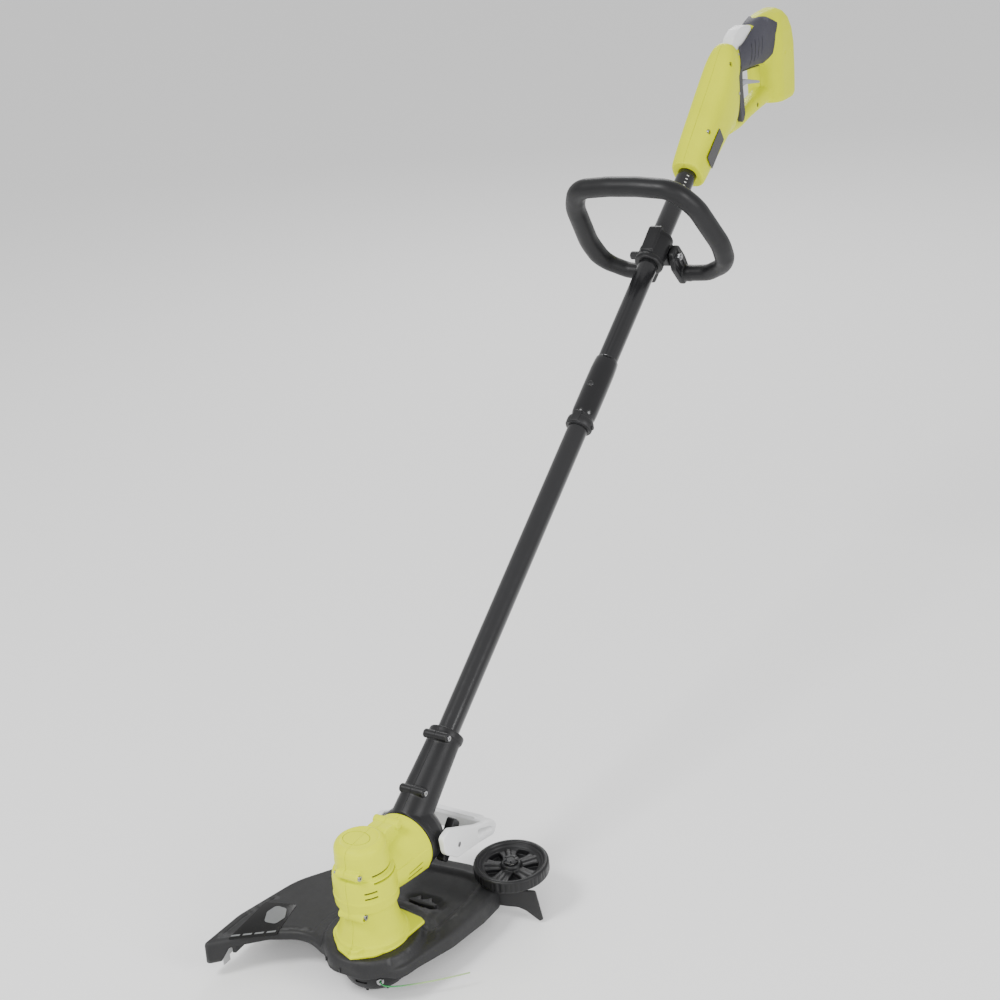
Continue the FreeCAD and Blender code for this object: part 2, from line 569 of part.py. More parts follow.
# ---------------------------------------------------------------- spool head
def spool_head():
    cup = ring(SPOOL_R, SPOOL_R - 2.4, SPOOL_TOP - 2.6, (0, 0, 2.6))
    top = ring(SPOOL_R, 8.0, 3.0, (0, 0, SPOOL_TOP - 3.0))
    out = polar(1.0, EYELET_ANGLE)
    port = Part.makeCylinder(2.6, 12, V(out.x * 30, out.y * 30, EYELET_Z), out)
    window = turn_z(box(SPOOL_R - 3, SPOOL_R + 1, -7, 7, 14, 17), EYELET_ANGLE - 34)
    NODES["spool_cup"] = join(cup, top).cut(port).cut(window)
    hub = ring(8.0, SHAFT_R, 10.0, (0, 0, SPOOL_TOP - 8.0))
    NODES["drive_hub"] = join(hub, ring(12.0, 8.0, 2.0, (0, 0, SPOOL_TOP - 5.0)))
    plate = turned([(0, 0), (22, 0.0), (32, 0.5), (SPOOL_R - 0.6, 1.6), (SPOOL_R, 2.6), (0, 2.6)])
    tabs = [turn_z(box(31.0, 33.4, -6, 6, 2.6, 17), EYELET_ANGLE - 34 + 180 * i) for i in range(2)]
    post = cyl(5.0, 12.0, (0, 0, 2.6))
    NODES["spool_cap"] = join(plate, post, *tabs)
    flange = ring(4.0, 1.1, 1.6, (out.x * SPOOL_R, out.y * SPOOL_R, EYELET_Z), out)
    barrel = ring(2.6, 1.1, 4.4, (out.x * 33, out.y * 33, EYELET_Z), out)
    NODES["line_eyelet"] = join(flange, barrel)
    low, high = 4.2, 28.0
    core = ring(16.0, 6.0, high - low, (0, 0, low))
    flanges = [ring(29.5, 6.0, 1.8, (0, 0, z)) for z in (low, high - 1.8)]
    NODES["line_spool"] = join(core, *flanges)
    NODES["wound_line"] = ring(27.5, 16.0, high - low - 3.6, (0, 0, low + 1.8))
    NODES["feed_spring"] = coil(11.0, 0.7, SPOOL_TOP - 5.0 - high, 1.5, (0, 0, high))


def line_route():
    """Hand-set route of the free end of the cutting line, from inside the eyelet to its bare tip."""
    start = polar(36.0, EYELET_ANGLE)
    return [
        V(start.x, start.y, EYELET_Z), V(28.3, -33.7, 17.0), V(42.0, -29.5, 16.8),
        V(62.0, -14.5, 16.6), V(84.0, 3.5, 16.8), V(105.0, 24.0, 17.2),
    ]


def rounded_run(route, radius, name):
    """Round bar along straight runs joined by tangent arcs."""
    edges = []
    start = route[0]
    for i in range(1, len(route) - 1):
        here = route[i]
        before = (route[i - 1] - here).Length
        after = (route[i + 1] - here).Length
        back = (route[i - 1] - here).normalize()
        ahead = (route[i + 1] - here).normalize()
        turn = math.pi - back.getAngle(ahead)
        reach = 0.45 * min(before, after)
        bend = reach / math.tan(turn / 2.0)
        print("%s arc radius %.1f" % (name, bend))
        bisector = (back + ahead).normalize()
        middle = here + bisector * (math.hypot(bend, reach) - bend)
        first = here + back * reach
        last = here + ahead * reach
        edges.append(Part.LineSegment(start, first).toShape())
        edges.append(Part.Arc(first, middle, last).toShape())
        start = last
    edges.append(Part.LineSegment(start, route[-1]).toShape())
    path = Part.Wire(edges)
    tangent = (route[1] - route[0]).normalize()
    section = Part.Wire(Part.makeCircle(radius, route[0], tangent))
    bar = path.makePipeShell([section], True, False)
    expected = math.pi * radius ** 2 * path.Length
    print("%s length %.1f, volume ratio %.4f" % (name, path.Length, bar.Volume / expected))
    return bar


def cutting_line():
    NODES["cutting_line"] = rounded_run(line_route(), LINE_R, "cutting line")


# ---------------------------------------------------------------- front handle
LOOP_R = 11.5
LOOP_SHAPE = [
    (30, -47, 0), (60, -45, 30), (93, -26, 36), (98, 12, 80), (89, 80, 60), (70, 114, 34), (20, 119, 90),
]
EAR_IN = 18.6
EAR_OUT = 26.0
LUG_HALF = 17.6


def turned_on_tube(shape):
    """Turns a front-handle piece to where it is set round the tube."""
    shape.rotate(tube_point(0, 0, 0), TUBE_DIR, -HANDLE_TURN)
    return shape


def loop_grip():
    left_half = [(-a, b, r) for a, b, r in reversed(LOOP_SHAPE)]
    wire = outline(LOOP_SHAPE + left_half, lambda p: tube_point(p.x, p.y, LOOP_U))
    gap = tube_point(0, LOOP_SHAPE[0][1], LOOP_U)
    edges = [e for e in wire.Edges if e.CenterOfMass.sub(gap).Length > 2.0]
    path = Part.Wire(Part.__sortEdges__(edges))
    start = path.OrderedVertexes[0].Point
    first = path.OrderedEdges[0]
    tangent = (first.valueAt(first.LastParameter) - first.valueAt(first.FirstParameter)).normalize()
    section = Part.Wire(Part.makeCircle(LOOP_R, start, tangent))
    return path.makePipeShell([section], True, False)


def ear(side):
    """Tapered plate from the end of the loop up to the pinch bolt."""
    low = LOOP_SHAPE[0][1] - LOOP_R
    points = [
        (LOOP_U - 12, low), (LOOP_U + 12, low), (LOOP_U + 15, -30), (BOLT_U + 12, -2), (BOLT_U - 9, -2),
        (LOOP_U - 14, -24),
    ]
    plate = Part.Face(polygon([tube_point(side * EAR_IN, t, u) for u, t in points]))
    plate = plate.extrude(V(side * (EAR_OUT - EAR_IN), 0, 0))
    at = tube_point(side * EAR_IN, LOOP_SHAPE[0][1], LOOP_U)
    foot = Part.makeCylinder(LOOP_R, 33 - EAR_IN, at, X_AXIS * side)
    return plate.fuse(foot)


def front_handle():
    """Closed loop on a clamp, held by one pinch bolt that also lets the loop tilt."""
    clamp = along_tube(17.6, CLAMP_LOW_U, CLAMP_HIGH_U)
    lip = along_tube(18.2, CLAMP_LOW_U, CLAMP_LOW_U + 7)
    lug = on_tube(box(-LUG_HALF, LUG_HALF, 6, 30, BOLT_U - 13, BOLT_U + 13))
    bore = along_tube(TUBE_R + FIT, CLAMP_LOW_U - 1, CLAMP_HIGH_U + 1)
    slot = on_tube(box(-1.2, 1.2, 8, 34, CLAMP_LOW_U - 1, CLAMP_HIGH_U + 1))
    way = Part.makeCylinder(BOLT_R + FIT, 100, tube_point(-50, BOLT_T, BOLT_U), X_AXIS)
    NODES["handle_clamp"] = turned_on_tube(join(clamp, lip, lug).cut(bore).cut(slot).cut(way))
    NODES["handle_loop"] = turned_on_tube(join(loop_grip(), ear(-1.0), ear(1.0)).cut(way))
    bolt = Part.makeCylinder(BOLT_R, 74, tube_point(-42, BOLT_T, BOLT_U), X_AXIS)
    knob = Part.makeCylinder(4.6, 42 - EAR_OUT, tube_point(-42, BOLT_T, BOLT_U), X_AXIS)
    NODES["tilt_bolt"] = turned_on_tube(join(bolt, knob))
    at = tube_point(EAR_OUT, BOLT_T, BOLT_U)
    corners = [polar(5.2, 60 * i) for i in range(6)]
    hexagon = Part.Face(polygon([(at.x, at.y + p.x, at.z + p.y) for p in corners])).extrude(V(4.4, 0, 0))
    bored = hexagon.cut(Part.makeCylinder(BOLT_R, 10, V(at.x - 1, at.y, at.z), X_AXIS))
    NODES["tilt_nut"] = turned_on_tube(bored)


# ---------------------------------------------------------------- rear handle
GRIP_HALF = 17.0


def handle_shapes(inset):
    """Side views of the body, strut, grip and dock of the rear handle, all pulled in by inset."""
    i = inset
    body = [
        (885 + i, 647 + 1.6 * i, 4), (861 + 1.2 * i, 684 + 0.2 * i, 4), (957 + 0.6 * i, 774 - 1.6 * i, 60),
        (1002, 811 - 1.2 * i, 20), (1030 - i, 792 - i, 12), (1010 - i, 760, 20),
        (1008 - i, 702 + i, 10), (974, 692 + i, 12),
    ]
    strut = [
        (960, 686 + 1.2 * i, 6), (1010, 690 + i, 20), (1118, 708 + i, 10), (1150, 708 + i, 4),
        (1150, 728 - i, 4), (1116, 728 - i, 8), (1034, 710 - i, 12), (1000, 716 - i, 6),
    ]
    grip = [
        (985, 763 + i, 11), (1040, 766 + i, 30), (1124, 764 + i, 14), (1160, 748 + i, 12),
        (1170 - i, 828 - i, 24), (1124, 831 - i, 30), (1096 + i, 823 - i, 13), (1080 + i, 801 - i, 12),
        (1030, 792 - i, 20), (985, 792 - i, 11),
    ]
    dock = [
        (1126 + i, 707, 3), (1190 - i, 700, 6), (1202 - i, 790, 26), (1184 - i, 828 - i, 22),
        (1150, 832 - i, 12), (1120 + i, 790, 20), (1122 + i, 760, 12),
    ]
    return body, strut, grip, dock


HANDLE_WIDTHS = ((24.0, 18.0), (13.0, 5.0), (GRIP_HALF, 10.0), (27.0, 9.0))


def handle_solids(inset):
    """The four blocks of the handle; the dock narrows towards the fingers."""
    blocks = []
    for corners, (half, edge) in zip(handle_shapes(inset), HANDLE_WIDTHS):
        blocks.append(slab(corners, half - inset, edge - inset))
    i = inset
    plan = [
        (15 - i, 1110, 0), (15 - i, 1126 + i, 4), (27 - i, 1148, 8), (27 - i, 1184, 8), (18 - i, 1206, 0),
        (i - 18, 1206, 0), (i - 27, 1184, 8), (i - 27, 1148, 8), (i - 15, 1126 + i, 4), (i - 15, 1110, 0),
    ]
    blocks[3] = blocks[3].common(plan_prism(plan, 690, 850))
    return blocks


HANDLE_SCREWS = [(905.0, 716.0, 17.0), (985.0, 788.0, 15.0), (1110.0, 818.0, 12.0), (1085.0, 712.0, 9.0)]
SOCKET_TOP = 752.0
LOCK_HALF = 8.0            # half width of the lock-off lever
TRIGGER_HALF = 6.0
SLOT_PLAY = 0.5
SIDE_ROOM = 30.0           # half width that clears the whole handle


def handle_rows(radius, low=0.0):
    """Bars along X at the four screw places, from low past each screw head outwards on the left side."""
    bars = []
    for y, z, head_x in HANDLE_SCREWS:
        start = head_x if low else -SIDE_ROOM
        bars.append(cyl(radius, SIDE_ROOM - start, (start, y, z), X_AXIS))
    return join(*bars)


def rear_handle():
    """Two moulded shells: tapered body over the tube, grip, dock for the battery and a strut below."""
    parts = join(*handle_solids(0.0))
    hollow = join(*handle_solids(SHELL))
    inner = [
        along_tube(24.0, HANDLE_U + 3, HANDLE_U + 12),
        along_tube(24.0, TUBE_END_U - 12, TUBE_END_U - 8),
        box(-SIDE_ROOM, SIDE_ROOM, 1128, 1198, SOCKET_TOP, SOCKET_TOP + 3),
        box(-SIDE_ROOM, SIDE_ROOM, 966, 990, 741, 744),
        box(-SIDE_ROOM, SIDE_ROOM, LOCK_Y - 8, LOCK_Y + 10, 784, 806),
        box(-SIDE_ROOM, SIDE_ROOM, 1038, 1054, 783, 787),
        handle_rows(4.6),
    ]
    inner = [piece.common(parts) for piece in inner]
    cutters = [
        along_tube(TUBE_R, HANDLE_U - 10, TUBE_END_U + 2),
        box(-LOCK_HALF - SLOT_PLAY, LOCK_HALF + SLOT_PLAY, 1006, 1086, 787, 850),
        box(-TRIGGER_HALF - SLOT_PLAY, TRIGGER_HALF + SLOT_PLAY, 990.5, 1030, 731, 775),
        box(-23, 23, 1133, 1193, 690, SOCKET_TOP),
        handle_rows(1.6),
        handle_rows(3.2, 1.0),
        cyl(2.0, 45, (-22.5, TRIGGER_Y, TRIGGER_Z), X_AXIS),
        cyl(1.6, 28, (-14, LOCK_Y, LOCK_Z), X_AXIS),
    ]
    shell = join(parts.cut(hollow), *inner)
    for cutter in cutters:
        shell = shell.cut(cutter)
    NODES["handle_shell_left"], NODES["handle_shell_right"] = halves(shell)
    NODES["handle_screws"] = group([screw_x(x, 3.0 - x, y, z) for y, z, x in HANDLE_SCREWS])
    grips(parts)
    badge = slab([(928, 716, 2), (940, 698, 2), (898, 668, 2), (886, 686, 2)], 0.2)
    badge.translate(V(24.2, 0, 0))
    NODES["side_badge"] = badge


SKIN = 1.3                 # thickness of the soft overmoulding on the grip


def grips(parts):
    """Soft overmoulded skins on both sides and under the grip."""
    grown = slab(handle_shapes(-SKIN)[2], GRIP_HALF + SKIN, 11.0)
    zone = slab([
        (1024, 740, 2), (1024, 800, 2), (1040, 803, 4), (1058, 823, 6), (1110, 823, 10), (1142, 811, 10),
        (1154, 788, 8), (1150, 768, 6), (1118, 740, 2),
    ], SIDE_ROOM)
    lever_room = box(-LOCK_HALF - 1, LOCK_HALF + 1, 1000, 1090, 786, 850)
    skin = grown.common(zone).cut(parts).cut(lever_room)
    for name, half in zip(("grip_left", "grip_right"), halves(skin)):
        NODES[name] = max(half.Solids, key=lambda solid: solid.Volume)


def controls():
    """Trigger and lock-off lever with their pins and springs."""
    trigger = slab([
        (996, 773, 2), (1002, 773, 2), (1008, 756, 8), (1022, 752, 10), (1062, 752, 30), (1110, 740, 1),
        (1112, 737, 1), (1062, 746, 30), (1024, 741, 10), (1000, 736, 6), (995, 742, 3),
    ], TRIGGER_HALF)
    NODES["trigger"] = trigger.cut(cyl(2.0 + FIT, 40, (-20, TRIGGER_Y, TRIGGER_Z), X_AXIS))
    NODES["trigger_pin"] = cyl(2.0, 45, (-22.5, TRIGGER_Y, TRIGGER_Z), X_AXIS)
    NODES["trigger_spring"] = coil(2.4, 0.4, 5.4, 3, (0, 995.5, 768.5), V(0, -1, 0))
    lever = slab([
        (1016, 789, 2), (1014, 799, 3), (1032, 808, 14), (1056, 819, 14), (1078, 822, 3), (1082, 816, 2),
        (1060, 804, 14), (1040, 797, 10), (1028, 789, 3),
    ], LOCK_HALF)
    NODES["lock_off"] = lever.cut(cyl(1.6 + FIT, 40, (-20, LOCK_Y, LOCK_Z), X_AXIS))
    NODES["lock_off_pin"] = cyl(1.6, 28, (-14, LOCK_Y, LOCK_Z), X_AXIS)
    NODES["lock_off_spring"] = coil(2.6, 0.45, 11.4, 3, (0, 1046.0, 787.0))


def electrics():
    """Switch, battery terminals and the leads that join them, and the cable down the tube."""
    NODES["power_switch"] = join(box(-9, 9, 966, 990, 744, 772), box(-4, 4, 990, 991.6, 755, 762))
    NODES["terminal_block"] = box(-17, 17, 1140, 1172, SOCKET_TOP - 12, SOCKET_TOP)
    blades = [box(x - 0.5, x + 0.5, 1146, 1164, SOCKET_TOP - 34, SOCKET_TOP - 12) for x in (-10, 0, 10)]
    NODES["terminal_blades"] = group(blades)
    leads = []
    for side in (-1.0, 1.0):
        route = [V(10.5 * side, 1150, SOCKET_TOP + 3.2), V(10.5 * side, 1146, 784), V(10.5 * side, 1100, 788),
                 V(10.5 * side, 1040, 775), V(8.0 * side, 990.8, 766)]
        leads.append(rounded_run(route, 1.4, "battery lead"))
    NODES["battery_leads"] = group(leads)
    cable = [V(0, DISC_Y + 3, ROLL_Z), V(0, 92, 128.5), tube_point(0, 0, 124), tube_point(0, 0, 190)]
    low = rounded_run(cable, CABLE_R, "motor cable")
    NODES["motor_cable"] = join(low, along_tube(CABLE_R, 190, 1156))


def build():
    tubes()
    joint_sleeve()
    joint_button()
    elbow_housing()
    pedal_parts()
    housing()
    roll_collar()
    motor()
    rotor()
    guard()
    cutoff_blade()
    edge_wheel()
    spool_head()
    cutting_line()
    front_handle()
    rear_handle()
    controls()
    electrics()


def write():
    os.makedirs("parts", exist_ok=True)
    for name, shape in NODES.items():
        good = shape.isValid() and len(shape.Solids) > 0
        print("%-20s solids %d %s" % (name, len(shape.Solids), "" if good else "BAD"))
        shape.exportStep("parts/%s.step" % name)


build()
write()
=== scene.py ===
import bpy, bmesh, json, math
import numpy as np
from mathutils import Matrix, Vector
from mathutils.geometry import delaunay_2d_cdt


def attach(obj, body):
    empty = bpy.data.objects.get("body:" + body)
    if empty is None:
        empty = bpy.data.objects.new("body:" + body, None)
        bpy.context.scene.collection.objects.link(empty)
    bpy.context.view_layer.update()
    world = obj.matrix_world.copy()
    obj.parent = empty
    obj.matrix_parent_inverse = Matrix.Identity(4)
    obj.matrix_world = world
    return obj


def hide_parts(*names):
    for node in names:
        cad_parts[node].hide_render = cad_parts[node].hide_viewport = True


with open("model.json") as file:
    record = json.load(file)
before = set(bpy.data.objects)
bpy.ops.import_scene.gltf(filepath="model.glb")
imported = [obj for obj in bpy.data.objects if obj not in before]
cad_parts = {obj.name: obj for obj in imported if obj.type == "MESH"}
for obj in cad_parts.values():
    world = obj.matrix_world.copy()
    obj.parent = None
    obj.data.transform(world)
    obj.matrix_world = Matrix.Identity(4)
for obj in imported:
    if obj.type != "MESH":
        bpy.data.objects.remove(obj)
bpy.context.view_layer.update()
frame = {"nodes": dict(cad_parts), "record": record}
NODES = frame["nodes"]
MM = 0.001
# the tube's slope, and its directions along and square to it
SLOPE = math.radians(33.88)
UP_TUBE = Vector((0, math.cos(SLOPE), math.sin(SLOPE)))
OFF_TUBE = Vector((0, -math.sin(SLOPE), math.cos(SLOPE)))
TUBE_AXIS_Z = 80.3              # height in mm of the tube's axis over the spool
# places in mm that several pieces share
HEAD_Z = 122                    # height of the roll axis
PEDAL_PIN = (114, 108)          # y, z
BOLT = (-16.5, 926)             # the tilt bolt's offset from the tube's axis and its station
LOOP_STATION = 924
WHEEL = (78, 166)               # x, y
GUARD_TOP = 45.0
LINE_Z = 17                     # height of the cutting line's exit
EYELET_TURN = -50               # its direction in degrees


def tp(x, t, u):
    """Point in metres at station u mm up the tube, t mm above its axis."""
    return (Vector((x, 0, TUBE_AXIS_Z)) + UP_TUBE * u + OFF_TUBE * t) * MM


def tube_mm(x, t, u):
    """The same point in mm."""
    return tp(x, t, u) / MM


TUBE_FOOT = tube_mm(0, 0, 0)


# ---- materials
def node(tree, kind, **values):
    """New shader node; a value goes to the input or else the setting of that name."""
    n = tree.nodes.new(kind)
    for key, value in values.items():
        if key in n.inputs:
            n.inputs[key].default_value = value
        else:
            setattr(n, key.lower().replace(" ", "_"), value)
    return n


def noise(tree, where, scale, detail, roughness=0.5):
    """Noise texture over the given coordinates."""
    n = node(tree, "ShaderNodeTexNoise", Scale=scale, Detail=detail, Roughness=roughness)
    tree.links.new(where, n.inputs["Vector"])
    return n.outputs["Fac"]


def remap(tree, value, low, high, start=0.0, end=1.0):
    """Stretches a value between low and high over start to end."""
    n = node(tree, "ShaderNodeMapRange", **{"From Min": low, "From Max": high, "To Min": start, "To Max": end})
    tree.links.new(value, n.inputs["Value"])
    return n.outputs["Result"]


def mixed(tree, amount, under, over):
    """Colour that goes from the socket under to the colour over by an amount."""
    n = node(tree, "ShaderNodeMix", data_type="RGBA")
    n.inputs[7].default_value = over
    tree.links.new(amount, n.inputs[0])
    tree.links.new(under, n.inputs[6])
    return n.outputs[2]


def lighter(colour, gain, lift):
    return [min(c * gain + lift, 1) for c in colour] + [1]


def shader(name, colour, rough, metal=0.0, grain=900, bump=0.2, vary=0.2, rough_vary=0.06,
           blotch=14.0, wear_and_highlight=0.0, wear_and_highlight_colour=None, coat=0.0, brushed=None, speck=0.0, depth=0.0002, shine=0.5):
    """Principled material: broad colour drift, fine moulded grain, uneven gloss and paler edges, partly edge wear and
    partly painted highlight.
    """
    m = bpy.data.materials.new(name)
    m.use_nodes = True
    t = m.node_tree
    b = t.nodes["Principled BSDF"].inputs
    b["Metallic"].default_value = metal
    b["Coat Weight"].default_value = coat
    b["Coat Roughness"].default_value = 0.12
    b["Specular IOR Level"].default_value = shine
    link = t.links.new
    at = node(t, "ShaderNodeTexCoord").outputs["Object"]
    fine_at = at
    if brushed:
        stretch = node(t, "ShaderNodeMapping", Scale=brushed)
        link(at, stretch.inputs["Vector"])
        fine_at = stretch.outputs["Vector"]
    ramp = node(t, "ShaderNodeValToRGB")
    dark, pale = ramp.color_ramp.elements
    dark.position, pale.position = 0.32, 0.68
    dark.color = lighter(colour, 1 - vary, 0)
    pale.color = lighter(colour, 1 + vary, 0)
    link(noise(t, at, blotch, 5.0, 0.6), ramp.inputs["Fac"])
    out = ramp.outputs["Color"]
    if speck:
        dots = remap(t, noise(t, at, grain * 2.3, 1.0), 0.62, 0.75, end=speck)
        out = mixed(t, dots, out, lighter(colour, 1.6, 0.05))
    # paler sharp edges found by pointiness: partly edge wear, partly a painted highlight where the edges catch the
    # light
    if wear_and_highlight:
        edge = remap(t, node(t, "ShaderNodeNewGeometry").outputs["Pointiness"], 0.515, 0.58, end=wear_and_highlight)
        out = mixed(t, edge, out, [*wear_and_highlight_colour, 1] if wear_and_highlight_colour else lighter(colour, 1.9, 0.04))
    link(out, b["Base Color"])
    scuff = noise(t, fine_at, blotch * 6.0, 6.0, 0.7)
    link(remap(t, scuff, 0.3, 0.7, max(rough - rough_vary, 0.03), min(rough + rough_vary, 1.0)), b["Roughness"])
    relief = node(t, "ShaderNodeBump", Strength=bump, Distance=depth)
    link(noise(t, fine_at, grain, 3.0, 0.55), relief.inputs["Height"])
    link(relief.outputs["Normal"], b["Normal"])
    return m


M = {
    "lime": shader("lime_plastic", (0.70, 0.76, 0.0), 0.38, grain=1500, bump=0.10, vary=0.04, wear_and_highlight=0.4,
                   wear_and_highlight_colour=(0.92, 0.98, 0.03), shine=0.12),
    "black_plastic": shader("black_plastic", (0.0085, 0.0085, 0.0095), 0.42, grain=1100, bump=0.30, vary=0.16,
                            wear_and_highlight=0.5, wear_and_highlight_colour=(0.05, 0.05, 0.052), speck=0.2, depth=0.0003, shine=0.34),
    "black_paint": shader("black_paint", (0.004, 0.004, 0.005), 0.20, grain=500, bump=0.04,
                          rough_vary=0.05, coat=0.25, wear_and_highlight=0.2, shine=0.4),
    "grey_plastic": shader("grey_plastic", (0.84, 0.845, 0.85), 0.42, grain=1300, bump=0.14, vary=0.03,
                           wear_and_highlight=0.3, wear_and_highlight_colour=(0.86, 0.86, 0.86)),
    "soft_grip": shader("soft_grip", (0.048, 0.047, 0.062), 0.6, grain=1700, bump=0.35, vary=0.12, wear_and_highlight=0.4,
                        wear_and_highlight_colour=(0.12, 0.12, 0.15), speck=0.3, shine=0.3),
    "guard_black": shader("guard_black", (0.017, 0.017, 0.018), 0.5, grain=1100, bump=0.35, vary=0.14, wear_and_highlight=0.5,
                          wear_and_highlight_colour=(0.06, 0.06, 0.062), speck=0.3, depth=0.0003, shine=0.32),
    "trigger_grey": shader("trigger_grey", (0.30, 0.30, 0.38), 0.42, grain=1300, bump=0.14, vary=0.04, wear_and_highlight=0.3),
    "steel": shader("brushed_steel", (0.50, 0.50, 0.51), 0.34, metal=1.0, grain=160, bump=0.10, vary=0.08,
                    brushed=(1, 1, 14)),
    "zinc": shader("zinc_screw", (0.34, 0.34, 0.35), 0.28, metal=1.0, bump=0.15, vary=0.12),
    "brass": shader("brass_part", (0.66, 0.46, 0.18), 0.33, metal=1.0, grain=600, bump=0.12, vary=0.12),
    "magnet": shader("ferrite", (0.05, 0.05, 0.055), 0.55, metal=0.3, bump=0.35),
    "line_green": shader("line_green", (0.04, 0.36, 0.10), 0.36, vary=0.25, blotch=40),
    "cable_black": shader("cable_black", (0.02, 0.02, 0.021), 0.5),
    "lead_red": shader("lead_red", (0.40, 0.02, 0.02), 0.4, vary=0.15),
    "white_plastic": shader("white_plastic", (0.74, 0.74, 0.71), 0.42, bump=0.15, vary=0.05),
    "panel": shader("gloss_panel", (0.003, 0.003, 0.003), 0.2, bump=0.03, vary=0.1, shine=0.3),
    "panel_grey": shader("panel_grey", (0.16, 0.165, 0.17), 0.35, bump=0.05, vary=0.08, shine=0.3),
}
for name, obj in NODES.items():
    wanted = next(s["material_slot"] for s in frame["record"]["subparts"] if s["node"] == name)
    obj.data.materials.clear()
    obj.data.materials.append(M[wanted])


# ---- mesh helpers
def linked(name, data):
    """New object in the scene."""
    obj = bpy.data.objects.new(name, data)
    bpy.context.scene.collection.objects.link(obj)
    return obj


def add(name, verts, faces, mat="black_plastic"):
    mesh = bpy.data.meshes.new(name)
    mesh.from_pydata([tuple(v) for v in verts], [], faces)
    mesh.validate()
    mesh.materials.append(M[mat])
    return outward(linked(name, mesh))


def from_bmesh(name, b, mat):
    mesh = bpy.data.meshes.new(name)
    b.to_mesh(mesh)
    b.free()
    mesh.materials.append(mat)
    return linked(name, mesh)


def outward(obj):
    b = bmesh.new()
    b.from_mesh(obj.data)
    bmesh.ops.recalc_face_normals(b, faces=b.faces)
    b.to_mesh(obj.data)
    b.free()
    return obj


def lathe(name, profile, mat="black_plastic", at=(0, 0, 0), axis=(0, 0, 1), seg=128):
    """Turned solid: (radius, height) in mm from the bottom axis point to the top axis point."""
    turn = Vector((0, 0, 1)).rotation_difference(Vector(axis)).to_matrix()
    verts, rings = [], []
    for r, z in profile:
        ring = []
        for k in range(1 if r < 1e-6 else seg):
            a = 2 * math.pi * k / seg
            ring.append(len(verts))
            verts.append((turn @ Vector((r * math.cos(a), r * math.sin(a), z)) + Vector(at)) * MM)
        rings.append(ring)
    faces = []
    for low, high in zip(rings, rings[1:]):
        for k in range(seg):
            a, b = low[k % len(low)], low[(k + 1) % len(low)]
            c, d = high[(k + 1) % len(high)], high[k % len(high)]
            corners = list(dict.fromkeys((a, b, c, d)))
            if len(corners) > 2:
                faces.append(corners)
    return add(name, verts, faces, mat)


def washer(name, profile, mat="black_plastic", at=(0, 0, 0), axis=(0, 0, 1), seg=128):
    """Turned ring: a closed (radius, height) profile clear of the axis."""
    turn = Vector((0, 0, 1)).rotation_difference(Vector(axis)).to_matrix()
    n = len(profile)
    verts = []
    for k in range(seg):
        a = 2 * math.pi * k / seg
        for r, z in profile:
            verts.append((turn @ Vector((r * math.cos(a), r * math.sin(a), z)) + Vector(at)) * MM)
    faces = []
    for k in range(seg):
        for i in range(n):
            j, q = (i + 1) % n, (k + 1) % seg
            faces.append((k * n + i, k * n + j, q * n + j, q * n + i))
    return add(name, verts, faces, mat)


def rounded(corners, step=5):
    """Outline through (a, b, radius) corners, in mm."""
    line = []
    n = len(corners)
    for i, (a, b, r) in enumerate(corners):
        here = Vector((a, b))
        before = Vector(corners[i - 1][:2])
        after = Vector(corners[(i + 1) % n][:2])
        u, w = (before - here).normalized(), (after - here).normalized()
        half = u.angle(w) / 2
        if r <= 0 or half > 1.56:
            line.append(here)
            continue
        reach = r / math.tan(half)
        centre = here + (u + w).normalized() * (r / math.sin(half))
        first, last = here + u * reach - centre, here + w * reach - centre
        for k in range(step + 1):
            f = k / step
            mid = (first * (1 - f) + last * f).normalized() * r
            line.append(centre + mid)
    return line


def prism(name, line, place, d0, d1, mat="black_plastic", bevel=0.0, seg=3):
    """Solid between two copies of an outline; place(a, b, depth) gives the point in mm."""
    n = len(line)
    verts = [Vector(place(p[0], p[1], d)) * MM for d in (d0, d1) for p in line]
    faces = [tuple(range(n)), tuple(range(2 * n - 1, n - 1, -1))]
    faces += [(i, (i + 1) % n, n + (i + 1) % n, n + i) for i in range(n)]
    obj = add(name, verts, faces, mat)
    return bevelled(obj, bevel, seg) if bevel else obj


def side(a, b, d):
    """Place for an outline in Y and Z."""
    return (d, a, b)


def plan(a, b, d):
    """Place for an outline in X and Y."""
    return (a, b, d)


def along_tube(a, b, d):
    """Place for an outline in station and height off the tube's axis."""
    return tuple(tube_mm(d, b, a))


def polar(r, degrees):
    a = math.radians(degrees)
    return (r * math.cos(a), r * math.sin(a))


def petal(degrees, corners, centre=(0, 0)):
    """Outline of (outwards, sideways) corners from a centre, turned by an angle."""
    a = math.radians(degrees)
    u, w = Vector((math.cos(a), math.sin(a))), Vector((-math.sin(a), math.cos(a)))
    return [Vector(centre) + u * s + w * t for s, t in corners]


def squircle(k, n, power):
    """Point k of n on a super-ellipse of half axes 1."""
    a = 2 * math.pi * k / n
    return [math.copysign(abs(v) ** (2 / power), v) for v in (math.cos(a), math.sin(a))]


def bevelled(obj, width, seg=3, angle=40):
    """Rounds the edges sharper than an angle, by a width in mm."""
    mod = obj.modifiers.new("round", "BEVEL")
    mod.width = width * MM
    mod.segments = seg
    mod.limit_method = "ANGLE"
    mod.angle_limit = math.radians(angle)
    return applied(obj)


def applied(obj):
    """Replaces the mesh by what its modifiers make of it."""
    deps = bpy.context.evaluated_depsgraph_get()
    deps.update()
    mesh = bpy.data.meshes.new_from_object(obj.evaluated_get(deps))
    mesh.name = obj.name
    obj.modifiers.clear()
    old = obj.data
    obj.data = mesh
    bpy.data.meshes.remove(old)
    return obj


